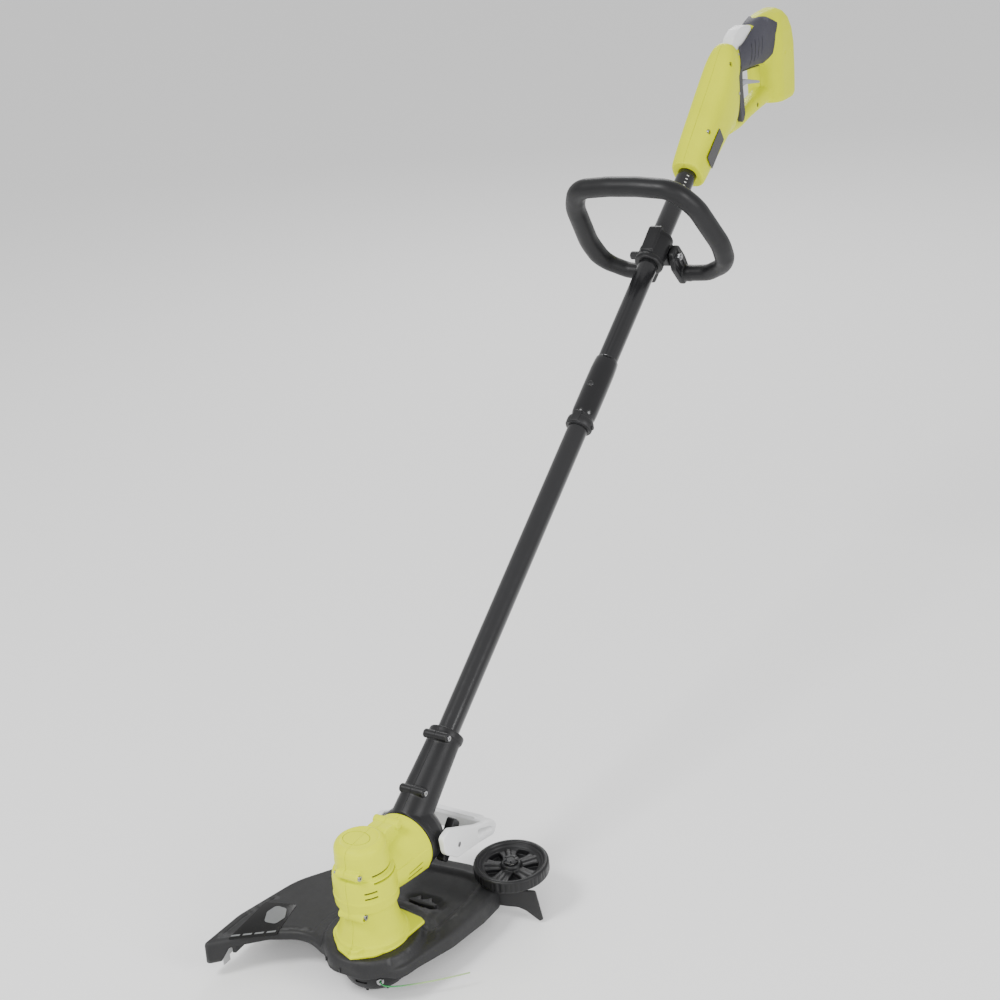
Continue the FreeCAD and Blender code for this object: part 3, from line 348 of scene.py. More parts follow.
def loft(name, sections, mat="black_plastic"):
    """Skin over closed rings with the same number of points, capped at both ends."""
    n = len(sections[0])
    verts = [Vector(p) * MM for s in sections for p in s]
    faces = [tuple(range(n)), tuple(range(len(verts) - 1, len(verts) - n - 1, -1))]
    for k in range(len(sections) - 1):
        for i in range(n):
            j = (i + 1) % n
            faces.append((k * n + i, k * n + j, (k + 1) * n + j, (k + 1) * n + i))
    return add(name, verts, faces, mat)


def oval(top, bottom, half, power=2.6, n=40):
    """Super-ellipse in the plane of X and the line from bottom to top, both (y, z) in mm."""
    t, b = Vector((0, *top)), Vector((0, *bottom))
    centre, up = (t + b) / 2, (t - b) / 2
    ring = []
    for k in range(n):
        c, s = squircle(k, n, power)
        ring.append(centre + Vector((half * c, 0, 0)) + up * s)
    return ring


def smooth_sections(rows, steps=6):
    """Catmull-Rom between (top, bottom, half width, power) rows."""
    rows = [tuple(r[0]) + tuple(r[1]) + (r[2], r[3]) for r in rows]
    padded = [rows[0]] + rows + [rows[-1]]
    out = []
    for i in range(1, len(padded) - 2):
        p = [np.array(padded[i + k], float) for k in (-1, 0, 1, 2)]
        for k in range(steps + (i == len(padded) - 3)):
            f = k / steps
            v = 0.5 * (2 * p[1] + (p[2] - p[0]) * f + (2 * p[0] - 5 * p[1] + 4 * p[2] - p[3]) * f ** 2
                       + (3 * p[1] - p[0] - 3 * p[2] + p[3]) * f ** 3)
            out.append(oval(v[:2], v[2:4], v[4], v[5]))
    return out


def joined(name, parts):
    """One piece from several, which may overlap."""
    b = bmesh.new()
    for part in parts:
        b.from_mesh(part.data)
    obj = from_bmesh(name, b, parts[0].data.materials[0])
    for part in parts:
        bpy.data.objects.remove(part)
    return obj


def fused(name, parts, voxel=1.2, soften=4, amount=0.5):
    """Melts overlapping solids into one skin with moulded fillets."""
    obj = joined(name, parts)
    mod = obj.modifiers.new("melt", "REMESH")
    mod.mode = "VOXEL"
    mod.voxel_size = voxel * MM
    if soften:
        ease = obj.modifiers.new("ease", "SMOOTH")
        ease.factor = amount
        ease.iterations = soften
    applied(obj)
    return soft(obj)


def soft(obj, angle=None):
    """Smooth shading, with sharp edges past an angle."""
    obj.data.shade_smooth()
    if angle:
        obj.data.set_sharp_from_angle(angle=math.radians(angle))
    return obj


def carve(obj, cutters, how="DIFFERENCE", solver="EXACT"):
    """Cuts the cutters away from a solid, or keeps only what they hold."""
    for cutter in cutters:
        mod = obj.modifiers.new("carve", "BOOLEAN")
        mod.operation = how
        mod.solver = solver
        mod.object = cutter
        applied(obj)
        bpy.data.objects.remove(cutter)
    return obj


def block(name, x0, x1, y0, y1, z0, z1, mat="black_plastic", bevel=0.0):
    return prism(name, [(x0, y0), (x1, y0), (x1, y1), (x0, y1)], plan, z0, z1, mat, bevel)


def bar(name, start, end, r, mat="black_plastic", dome=1.2, seg=48):
    """Round bar between two points in mm, with eased ends."""
    a, b = Vector(start), Vector(end)
    n = (b - a).length
    rows = [(0, 0), (r - dome, 0), (r - dome * 0.3, dome * 0.3), (r, dome), (r, n - dome),
            (r - dome * 0.3, n - dome * 0.3), (r - dome, n), (0, n)]
    return lathe(name, rows, mat, a, b - a, seg)


def hole(start, end, r, mat="black_plastic", dome=0.2):
    """Round cutter for a screw, pin or cup."""
    return bar("way", start, end, r, mat, dome)


def twin(obj):
    """Mirror image of a cutter in the middle plane."""
    copy = obj.copy()
    copy.data = obj.data.copy()
    bpy.context.scene.collection.objects.link(copy)
    for v in copy.data.vertices:
        v.co.x *= -1
    copy.data.flip_normals()
    return copy


def seam(obj, names, body, nodes, slot, gap=0.22):
    """Parts a housing down its middle plane into two shells with a fine gap between them."""
    halves = []
    for name, way in zip(names, (1, -1)):
        b = bmesh.new()
        b.from_mesh(obj.data)
        geom = list(b.verts) + list(b.edges) + list(b.faces)
        bmesh.ops.bisect_plane(b, geom=geom, plane_co=(way * gap * MM, 0, 0), plane_no=(way, 0, 0),
                               clear_inner=True)
        rim = [e for e in b.edges if e.is_boundary]
        bmesh.ops.triangle_fill(b, use_beauty=True, use_dissolve=False, edges=rim, normal=(-way, 0, 0))
        halves.append(soft(outward(from_bmesh(name, b, obj.data.materials[0])), 60))
    bpy.data.objects.remove(obj)
    for half, cad in zip(halves, nodes):
        put(half, body, cad, slot=slot)


def put(obj, body, *nodes, slot="black_plastic"):
    """Fixes a finished piece to its body, in place of CAD nodes if any are named."""
    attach(obj, body)
    if nodes:
        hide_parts(*nodes)


# ---- guard
GUARD = rounded([
    (-172, -88, 4), (-163, -80, 6), (-116, -38, 30), (-76, -20, 42), (-40, -36, 26), (-20, -54, 26),
    (22, -54, 26), (56, -30, 24), (74, 40, 60), (79, 98, 40), (77, 139, 4), (60, 160, 10),
    (24, 163, 30), (-30, 158, 60), (-98, 122, 70), (-146, 56, 90), (-168, -24, 60)], 12)


SKIN_DEPTHS = (0.5, 1.3, 2.4, 3.6, 5.0, 7.5, 9.0, 10.5, 13.0, 15.0, 17.0, 19.0, 21.0, 23.0, 25.0)


def resample(line, step):
    """Closed outline with points no further apart than a step."""
    pts = [Vector(p) for p in line]
    out = []
    for a, b in zip(pts, pts[1:] + pts[:1]):
        n = max(int(math.ceil((b - a).length / step)), 1)
        out += [a.lerp(b, k / n) for k in range(n) if (b - a).length > 1e-4]
    return out


def ease(f):
    """Smooth step from 0 to 1."""
    f = np.clip(f, 0, 1)
    return f * f * (3 - 2 * f)


def edge_distance(line, pts):
    """Distance of points from a closed outline, and whether they lie inside it."""
    a = np.array([tuple(p) for p in line])
    b = np.roll(a, -1, 0)
    d = b - a
    best = np.full(len(pts), 1e9)
    inside = np.zeros(len(pts), bool)
    for (ax, ay), (dx, dy), (_, by) in zip(a, d, b):
        f = np.clip(((pts[:, 0] - ax) * dx + (pts[:, 1] - ay) * dy) / (dx * dx + dy * dy), 0, 1)
        best = np.minimum(best, np.hypot(pts[:, 0] - ax - f * dx, pts[:, 1] - ay - f * dy))
        cross = ((ay > pts[:, 1]) != (by > pts[:, 1]))
        with np.errstate(divide="ignore", invalid="ignore"):
            at = ax + (pts[:, 1] - ay) * dx / dy
        inside ^= cross & (pts[:, 0] < at)
    return best, inside


def deck_height(x, y, d):
    """Top surface of the guard: rolled edge, raised ring and seat, stepped field at the back and right."""
    r = np.hypot(x, y)
    e = 4.5
    z = GUARD_TOP - np.where(d < e, e - np.sqrt(np.maximum(e * e - (e - d) ** 2, 0)), 0)
    z += 1.5 * ease((72 - r) / 4) * ease((d - 3) / 5)
    z += 8.5 * ease((58 - r) / 7)
    band = np.maximum(ease((y - 70) / 12), ease((x - 30) / 10) * ease((y - 5) / 30))
    z -= 2.6 * ease((d - 20) / 5) * band * ease((r - 60) / 6)
    z += 0.9 * (1 - ease(np.abs(d - 17) / 3)) * band
    z -= 3.6 * ease(3.2 * (1 - ((x - 14) / 26) ** 2 - ((y - 82) / 11) ** 2))
    z -= 1.2 * (1 - ease(np.abs(d - 9) / 1.6)) * ease((60 - x) / 30) * ease((30 - y) / 20) * ease((r - 70) / 10)
    return z


def skirt_low(x, y):
    """Lower edge of the skirt: deep at the back and the two tips, shallow round the spool."""
    if y < 30 and -148 < x < -45:
        return 36.0 - 0.5 * max(0, (-x - 130) / 18)
    if x <= -148:
        return 36.0 + (20.0 - 36.0) * min((-x - 148) / 8, 1) if y < -60 else 30.0 - 8 * min((y + 60) / 60, 1)
    if y < -8:
        return 37.6 if abs(x) < 42 else 37.6 - 3.6 * min((abs(x) - 42) / 10, 1)
    if x > 50 and y < 132:
        return 34.0 - 14.0 * (y + 8) / 140
    return 21.0


def guard_skin():
    """Thin moulded skin: rows that follow the edge, rings round the housing and a loose grid, meshed together."""
    edge = resample(GUARD, 2.0)
    n = len(edge)
    loose = []
    for k, depth in enumerate(SKIN_DEPTHS):
        row = []
        for i in range(n):
            t = (edge[(i + 1) % n] - edge[i - 1]).normalized()
            row.append(edge[i] + Vector((-t.y, t.x)) * depth)
        d, inside = edge_distance(edge, np.array([tuple(p) for p in row]))
        keep = inside & (np.abs(d - depth) < 0.12)
        loose += [row[i] for i in range(n) if keep[i] and (k < 4 or i % 2 == 0)]
    for r in (46.0, 49.0, 50.5, 52.0, 53.5, 55.0, 56.5, 58.0, 60.0, 64.0, 68.0, 70.0, 72.0, 74.0):
        m = int(r * 1.6)
        turns = [2 * math.pi * k / m for k in range(m)]
        loose += [Vector((r * math.cos(a), r * math.sin(a))) for a in turns]
    grid = np.arange(-176, 90, 4.0)
    loose += [Vector((x + 2 * (j % 2), y)) for x in grid for j, y in enumerate(np.arange(-90, 168, 4.0))]
    arr = np.array([tuple(p) for p in loose])
    d, inside = edge_distance(edge, arr)
    r = np.hypot(arr[:, 0], arr[:, 1])
    loose = [p for p, dd, i, rr in zip(loose, d, inside, r) if i and dd > 0.4 and rr > 30]
    centre = [Vector((30 * math.cos(2 * math.pi * k / 60), 30 * math.sin(2 * math.pi * k / 60))) for k in range(60)]
    pts = list(edge) + centre + loose
    edges = [(i, (i + 1) % n) for i in range(n)] + [(n + i, n + (i + 1) % 60) for i in range(60)]
    co, _, tris, *_ = delaunay_2d_cdt([Vector(p[:2]) for p in pts], edges, [], 0, 1e-5)
    arr = np.array([tuple(p) for p in co])
    middle = np.array([arr[list(f)].mean(0) for f in tris])
    _, inside = edge_distance(edge, middle)
    tris = [f for f, i, m in zip(tris, inside, middle) if i and math.hypot(*m) > 29.9]
    d, _ = edge_distance(edge, arr)
    z = deck_height(arr[:, 0], arr[:, 1], d)
    verts = [(p[0], p[1], h) for p, h in zip(arr, z)]
    near = {}
    for i, p in enumerate(arr):
        near[(round(p[0], 3), round(p[1], 3))] = i
    ring = [near[(round(p.x, 3), round(p.y, 3))] for p in edge]
    faces = [tuple(f) for f in tris]
    for k in range(1, 7):
        start = len(verts)
        for i in range(n):
            p = edge[i]
            t = (edge[(i + 1) % n] - edge[i - 1]).normalized()
            away = Vector((t.y, -t.x)) * 0.9 * (k / 6)
            low = skirt_low(p.x, p.y)
            verts.append((p.x + away.x, p.y + away.y, 40.5 + (low - 40.5) * k / 6))
        new = list(range(start, start + n))
        faces += [(ring[i], ring[(i + 1) % n], new[(i + 1) % n], new[i]) for i in range(n)]
        ring = new
    obj = add("guard_skin", [Vector(v) * MM for v in verts], faces, "guard_black")
    if sum(f.normal.z for f in obj.data.polygons if f.center.z > 0.044) < 0:
        obj.data.flip_normals()
    mod = obj.modifiers.new("wall", "SOLIDIFY")
    mod.thickness = 2.4 * MM
    mod.offset = -1
    applied(obj)
    return bevelled(obj, 0.5, 2, 50)


def on_head(name, outline, low, high, bevel, mat="black_plastic", slot="black_plastic", place=plan, angle=30):
    """Flat piece that rides on the head."""
    put(soft(prism(name, outline, place, low, high, mat, bevel), angle), "head", slot=slot)


def guard_pieces():
    put(soft(guard_skin(), 50), "head", "guard")
    turn = math.atan2(15.0, 48.0)
    c, s = math.cos(turn), math.sin(turn)

    def foot(a, b, d):
        return (76.5 + a * c - d * s, 135.5 + a * s + d * c, b)

    fin = rounded([(0, 20, 1), (0, 44.5, 1), (6, 44.5, 1), (9, 41, 1), (43, 42, 3), (49, 4, 1.2), (45, 1.8, 1.2),
                   (30, 15, 8), (21, 19, 8), (12, 19, 6)])
    on_head("guard_foot", fin, 0, 3.2, 0.9, "guard_black", place=foot, angle=40)
    lobe = rounded([(55, 128, 6), (84, 133, 6), (95, 158, 14), (92, 180, 14), (66, 181, 14), (62, 160, 6)], 8)
    on_head("wheel_arm", lobe, 38.5, 45.2, 1.4, "guard_black", angle=40)
    seat = lathe("wheel_seat", [(0, 44), (10.5, 44), (10.5, 45.4), (9.9, 46.1), (0, 46.1)], at=(*WHEEL, 0))
    put(soft(seat, 35), "head")
    label = rounded([(-150, -66, 2), (-152, 6, 2), (-116, 18, 3), (-104, -38, 3)])
    on_head("guard_label", label, 44.7, 45.35, 0.12, "panel")
    badge = rounded([(-139, -8, 5), (-136, 6, 5), (-122, 6, 5), (-114, -8, 5), (-117, -22, 5), (-131, -24, 5)])
    on_head("label_badge", badge, 45.3, 45.6, 0.1, "panel_grey", "grey_plastic")
    for k in range(4):
        x, y = -150 + k * 11, k * 7.2
        stripe = [(x, -58 + y), (x + 8.2, -52.6 + y), (x + 8.6, -55.6 + y), (x + 0.4, -61 + y)]
        on_head("label_stripe_%d" % k, stripe, 45.3, 45.52, 0.08, "panel_grey", "grey_plastic")
    teeth = [(-6, 77), (1, 82), (5, 88), (9, 81), (15, 84), (19, 89), (23, 82), (31, 80), (30, 76), (12, 74.5)]
    on_head("lock_teeth", rounded([(a, b, 0.8) for a, b in teeth], 3), 40.0, 45.4, 0.6)
    tongue = rounded([(-150, -34, 1), (-146, -34, 1), (-146, -60, 1), (-150, -62, 1)])
    on_head("blade_holder", tongue, 24, 42, 0.6)
    for i in range(5):
        rib = petal(150 + 28 * i, ((56, 0.9), (56, -0.9), (44, -0.9), (44, 0.9)))
        on_head("under_rib_%d" % i, rib, 39, 43.5, 0.4)


# ---- motor housing
SCREW_ROWS = ((-30.5, 150), (-31.6, 98.4))      # y, z of the two front screws
BACK_VENTS = ((144.4, 29.3), (138.0, 32.6))     # height and wall radius
FRONT_VENTS = (121.5, 128.2)
ARM_VENTS = (116.5, 109.5)


def housing_pieces():
    wall = [(0, 54.6), (41.2, 54.6), (41.8, 55.2), (41.8, 56.6), (40.6, 57.2), (39.6, 61.5), (39.2, 62.6),
            (37.4, 63.4), (35.2, 68), (33.6, 73), (31.6, 81), (30.6, 88), (30.3, 96), (30.4, 99.6), (30.7, 101.2),
            (33.7, 101.8), (34.6, 103.4), (35.0, 112), (35.4, 113), (35.4, 115.4), (34.7, 116.4), (34.7, 124),
            (34.5, 131), (33.9, 137), (33.4, 139.6), (32.6, 140.8), (29.8, 141.4), (29.2, 142.6), (29.3, 156),
            (29.0, 157), (28.6, 168), (27.6, 171.6), (25.2, 174.6), (21.5, 176.6), (20.8, 176.9), (20.4, 176.0),
            (19.8, 175.9), (0, 176.2)]
    parts = [lathe("can", wall, "lime", seg=160)]
    hoops = []
    for k in range(13):
        f = k / 12
        y = 14 + 57.5 * f
        half = 27.0 + 9.6 * f ** 0.8
        low = HEAD_Z - half * (0.92 + 0.06 * f)
        top = HEAD_Z + half * (0.99 - 0.03 * (1 - f))
        hoops.append(oval((y, top), (y, low), half, 2.1, 72))
    rim = [(20, 69.5), (34.8, 69.5), (36.2, 70.2), (36.9, 71.4), (37.0, 75.8), (36.4, 76.8), (20, 76.8)]
    wide = [[Vector((p.x * 1.045, p.y, HEAD_Z + (p.z - HEAD_Z) * 1.045)) for p in hoop] for hoop in hoops]
    belt = loft("belt", wide, "lime")
    carve(belt, [block("zone", -50, 50, 0, 72, 101, 129, "lime")], "INTERSECT")
    web = rounded([(26, 146, 0), (53, 146, 0), (53, 166, 3), (45, 168, 4), (26, 170, 8)])
    plate = rounded([(-41, 12, 10), (-41, -18, 20), (-16, -42, 6), (5, -50, 1.6), (12, -46, 2), (30, -34, 22),
                     (41, 6, 10), (44.5, 36, 2), (38, 40, 3), (10, 44, 12), (-30, 40, 16)], 8)
    tab = rounded([(2, -34, 1), (4, -48, 2), (12, -45, 2), (16, -34, 1)], 6)
    foot_a = [(-26, 146), (-26, 154), (-33, 153.0), (-33, 147.0)]
    foot_b = [(-24, 94), (-24, 103), (-32, 102), (-32, 94.8)]
    parts += [loft("arm", hoops, "lime"), washer("rim", rim, "lime", (0, 0, HEAD_Z), (0, 1, 0)), belt,
              bar("lug", (-16, 51, 165), (16, 51, 165), 5.2, "lime"),
              prism("web", web, side, -12.5, 12.5, "lime", 1.0),
              prism("plate", plate, plan, 54.6, 58.6, "lime", 1.0), prism("tab", tab, plan, 57, 64.5, "lime", 1.5)]
    for (y, z), left in zip(SCREW_ROWS, (-11, -14)):
        parts.append(bar("row", (left, y, z), (17.4, y, z), 4.8, "lime"))
    for foot, start in ((foot_a, -9), (foot_b, -11)):
        parts.append(prism("row_foot", foot, side, start, 15, "lime", 0.6))
    body = fused("motor_housing", parts, 0.72, 2, 0.5)
    cuts = []
    for z in FRONT_VENTS:
        line = [polar(34.9, a) for a in range(-56, -29, 3)]
        cuts.append(slot_run([(x, y, z + 0.10 * i) for i, (x, y) in enumerate(line)], 1.15, 2.2))
    for z, r in BACK_VENTS:
        cuts.append(slot_run([(*polar(r, a), z) for a in range(-36, 33, 4)], 1.2, 3.2))
    for z in ARM_VENTS:
        cuts.append(slot_run([(30.2, 36, z - 1.0), (32.2, 44, z), (35.6, 58, z + 1.6)], 1.15, 3.4))
    cuts += [twin(c) for c in cuts]
    disc = [(15.5 * math.cos(a) - 3.0, 12.0 * math.sin(a) - 1.0) for a in np.linspace(0, 2 * math.pi, 65)[:-1]]
    cuts.append(ring_cut("top_groove", disc, 175.4, 0.45))
    cuts += [bar("way", (13.5, y, z), (20, y, z), 2.5, "lime", 0.3) for y, z in SCREW_ROWS]
    carve(body, cuts)
    # dark rings and bars set inside the vents as painted shade: they darken the slots, where only shade falls
    for i, (z, r) in enumerate(BACK_VENTS + ((121.7, 34.8), (128.4, 34.5))):
        band = [(r - 3.6, z - 1.8), (r - 1.5, z - 1.8), (r - 1.5, z + 1.8), (r - 3.6, z + 1.8)]
        put(soft(washer("vent_painted_shade_ring_%d" % i, band), 35), "head")
    # dark bars behind the arm vents, also painted shade
    for i, z in enumerate(ARM_VENTS):
        for x in (-1, 1):
            ends = (x * 27.6, 37, z - 1.0), (x * 32.6, 57, z + 1.6)
            put(soft(bar("vent_painted_shade_bar_%d_%d" % (i, x + 1), *ends, 1.7, dome=0.3), 35), "head")
    seam(body, ("motor_shell_left", "motor_shell_right"), "head", ("housing_left", "housing_right"), "lime")


def slot_run(path, r, deep):
    """Cutter for a narrow vent: a flat band along the path, reaching inwards and outwards."""
    n = len(path)
    verts, faces = [], []
    for p in map(Vector, path):
        on_arm = abs(p.x) > 26 and p.y >= 14
        out = Vector((p.x, 0 if on_arm else p.y, 0)).normalized()
        for depth, high in ((-deep, -r), (3, -r), (3, r), (-deep, r)):
            verts.append((p + out * depth + Vector((0, 0, high))) * MM)
    for i in range(n - 1):
        for k in range(4):
            j = (k + 1) % 4
            faces.append((i * 4 + k, i * 4 + j, i * 4 + 4 + j, i * 4 + 4 + k))
    faces += [(0, 1, 2, 3), (n * 4 - 1, n * 4 - 2, n * 4 - 3, n * 4 - 4)]
    return add("vent_cut", verts, faces, "lime")


def ring_cut(name, line, z, r):
    """Cutter for a fine groove round a closed line."""
    n = len(line)
    verts, faces = [], []
    for i, (x, y) in enumerate(line):
        t = (Vector(line[(i + 1) % n]) - Vector(line[i - 1])).normalized()
        for a, h in ((-r, -0.6), (r, -0.6), (r, 2.5), (-r, 2.5)):
            verts.append(Vector((x - t.y * a, y + t.x * a, z + h)) * MM)
    for i in range(n):
        q = (i + 1) % n
        for k in range(4):
            j = (k + 1) % 4
            faces.append((i * 4 + k, i * 4 + j, q * 4 + j, q * 4 + k))
    return add(name, verts, faces, "lime")


# ---- elbow, pedal, tubes
def tube_lathe(name, rows, seg=112):
    """Turned solid on the tube's axis, its heights being stations."""
    return lathe(name, rows, at=TUBE_FOOT, axis=UP_TUBE, seg=seg)


def elbow_pieces():
    dome = [(0, 77.4), (35.6, 77.4), (36.6, 78.0), (37.0, 79.2), (37.0, 84.0), (36.2, 84.6), (36.2, 85.8),
            (36.9, 86.6), (36.6, 90), (36, 98), (33.5, 105), (29.5, 110.5), (24, 115), (16, 118.6), (8, 120.2),
            (0, 120.5)]
    sleeve = [(0, 109.2), (22.4, 109.2), (22.2, 120), (21.4, 140), (20.2, 168), (19.2, 196), (18.9, 207),
              (19.2, 209.4), (20.4, 210.6), (20.6, 212), (20.6, 217.4), (20.0, 218.6), (0, 218.8)]
    parts = [lathe("ball", dome, at=(0, 0, HEAD_Z), axis=(0, 1, 0), seg=144), tube_lathe("sleeve", sleeve),
             bar("lug", (-39.5, *PEDAL_PIN), (39.5, *PEDAL_PIN), 10.0, dome=1.4)]
    rows = (138, 206)               # stations of the two screw bosses
    for u in rows:
        parts.append(bar("row", tube_mm(-15.6, 19.0, u), tube_mm(15.6, 19.0, u), 5.2))
        foot = [tube_mm(0, t, v) for t, v in ((8, u - 6), (20, u - 4), (20, u + 4), (8, u + 6))]
        parts.append(prism("row_foot", [(p.y, p.z) for p in foot], side, -10, 10))
    cheek = [(100, 92, 3), (106, 84.5, 3), (126, 96, 3), (140, 118, 3), (132, 128, 3), (112, 108, 3)]
    parts += [prism("cheek", rounded(cheek), side, x * 22, x * 33) for x in (-1, 1)]
    keel = [tube_mm(0, t, u) for t, u in ((-19, 128), (-24, 134), (-23.2, 176), (-18, 204))]
    parts.append(prism("keel", [(p.y, p.z) for p in keel], side, -3.2, 3.2))
    body = fused("elbow", parts, 0.9, 3)
    inside = [(0, 76), (20.1, 76), (20.1, 81.6), (32.6, 81.6), (32.6, 90), (27, 105), (18, 111), (0, 114)]
    cuts = [tube_lathe("bore", [(0, 118), (12.75, 118), (12.75, 222), (0, 222)], 96),
            lathe("hollow", inside, at=(0, 0, HEAD_Z), axis=(0, 1, 0), seg=96),
            hole((-42, *PEDAL_PIN), (42, *PEDAL_PIN), 3.1)]
    cuts += [hole(tube_mm(12, 18, u), tube_mm(22, 18, u), 2.7) for u in rows]
    carve(body, cuts)
    seam(body, ("elbow_shell_left", "elbow_shell_right"), "frame", ("elbow_left", "elbow_right"), "black_plastic")


def pedal_piece():
    arm = rounded([(84, 134, 5), (100, 137, 7), (150, 110, 20), (186, 95.5, 4), (192, 86, 4.5), (184, 77.5, 5),
                   (150, 86, 26), (108, 94, 12), (86, 112, 12)], 8)
    parts = [prism("arm", arm, side, x * 40.3, x * 47.2, "grey_plastic", 1.0) for x in (-1, 1)]
    tread = rounded([(168, 105.5, 3), (186, 96, 5), (191.6, 86, 5), (184, 78, 5), (168, 82.5, 3)], 8)
    parts.append(prism("tread", tread, side, -46.5, 46.5, "grey_plastic", 1.5))
    for k in range(5):
        y, z = 170.5 + 4.2 * k, 104.4 - 2.15 * k
        parts.append(bar("ridge", (-33, y, z), (33, y, z), 1.0, "grey_plastic", 0.4, 16))
    body = fused("pedal", parts, 0.8, 3)
    dish = rounded([(150, 90.5, 3), (178, 84.0, 3), (184, 87, 3), (178, 92, 3), (152, 104, 3)], 6)
    cuts = [prism("dish", dish, side, x * 45.9, x * 50, "grey_plastic") for x in (-1, 1)]
    carve(body, [hole((-50, *PEDAL_PIN), (50, *PEDAL_PIN), 3.2, "grey_plastic")] + cuts)
    put(soft(body), "pedal", "foot_pedal", slot="grey_plastic")


def tube_details():
    ring = [(12.9, 640), (16.4, 640), (17.0, 641), (17.2, 646), (16.8, 650), (15.2, 652), (12.9, 652)]
    lug = rounded([(-5, 640, 2), (5, 640, 2), (5, 656, 2), (-5, 656, 2)], 4)
    sleeve = [(14.45, 656), (15.0, 657), (15.6, 664), (15.7, 700), (15.6, 724), (15.0, 738), (13.2, 744),
              (14.45, 742)]
    for piece in (washer("joint_ring", ring, "black_plastic", TUBE_FOOT, UP_TUBE),
                  prism("joint_lug", lug, lambda a, b, d: tube_mm(a, d, b), 12.8, 17.6, bevel=0.8),
                  washer("joint_skin", sleeve, "black_paint", TUBE_FOOT, UP_TUBE)):
        put(soft(piece, 35), "frame", slot="black_paint")
    dome = lathe("button_cap", [(0, 0), (3.9, 0), (3.9, 0.8), (3.3, 1.6), (2.0, 2.1), (0, 2.3)],
                 at=tube_mm(0, 15.6, 697), axis=OFF_TUBE, seg=48)
    put(soft(dome, 30), "latch_button", slot="steel")
    lean = math.radians(38)         # the height marks lie this far round the tube
    c, s = math.cos(lean), math.sin(lean)

    def on_tube(a, b, d):
        return tube_mm((12.45 + d) * s + b * c, (12.45 + d) * c - b * s, a)

    for k in range(6):
        u = 1012 + 5.6 * k
        tick = rounded([(u, -1.6, 0.5), (u + 1.3, -1.6, 0.5), (u + 1.3, 1.6, 0.5), (u, 1.6, 0.5)], 3)
        tick = prism("tick_%d" % k, tick, on_tube, 0, 0.42, "white_plastic", 0.1)
        put(soft(tick, 35), "frame", slot="white_plastic")


# ---- front handle
def swept(name, route, radii, mat, seg=40):
    """Tube of changing radius along a route of points in mm, with rounded ends."""
    pts = [Vector(p) for p in route]
    n = len(pts)
    tangents = [(pts[min(i + 1, n - 1)] - pts[max(i - 1, 0)]).normalized() for i in range(n)]
    verts, faces = [], []
    for p, t, r in zip(pts, tangents, radii):
        a = (UP_TUBE - t * UP_TUBE.dot(t)).normalized()
        b = t.cross(a)
        for k in range(seg):
            f = 2 * math.pi * k / seg
            verts.append((p + a * math.cos(f) * r + b * math.sin(f) * r) * MM)
    for i in range(n - 1):
        for k in range(seg):
            j = (k + 1) % seg
            faces.append((i * seg + k, i * seg + j, (i + 1) * seg + j, (i + 1) * seg + k))
    faces += [tuple(range(seg)), tuple(range(n * seg - 1, (n - 1) * seg - 1, -1))]
    return add(name, verts, faces, mat)


def handle_turned(obj):
    """Sets a front-handle piece round the tube."""
    there = Matrix.Translation(tp(0, 0, 0))
    back = Matrix.Translation(-tp(0, 0, 0))
    obj.data.transform(there @ Matrix.Rotation(math.radians(-3.8), 4, UP_TUBE) @ back)
    return obj


def bolt_way():
    return hole(tube_mm(-60, *BOLT), tube_mm(60, *BOLT), 2.7)


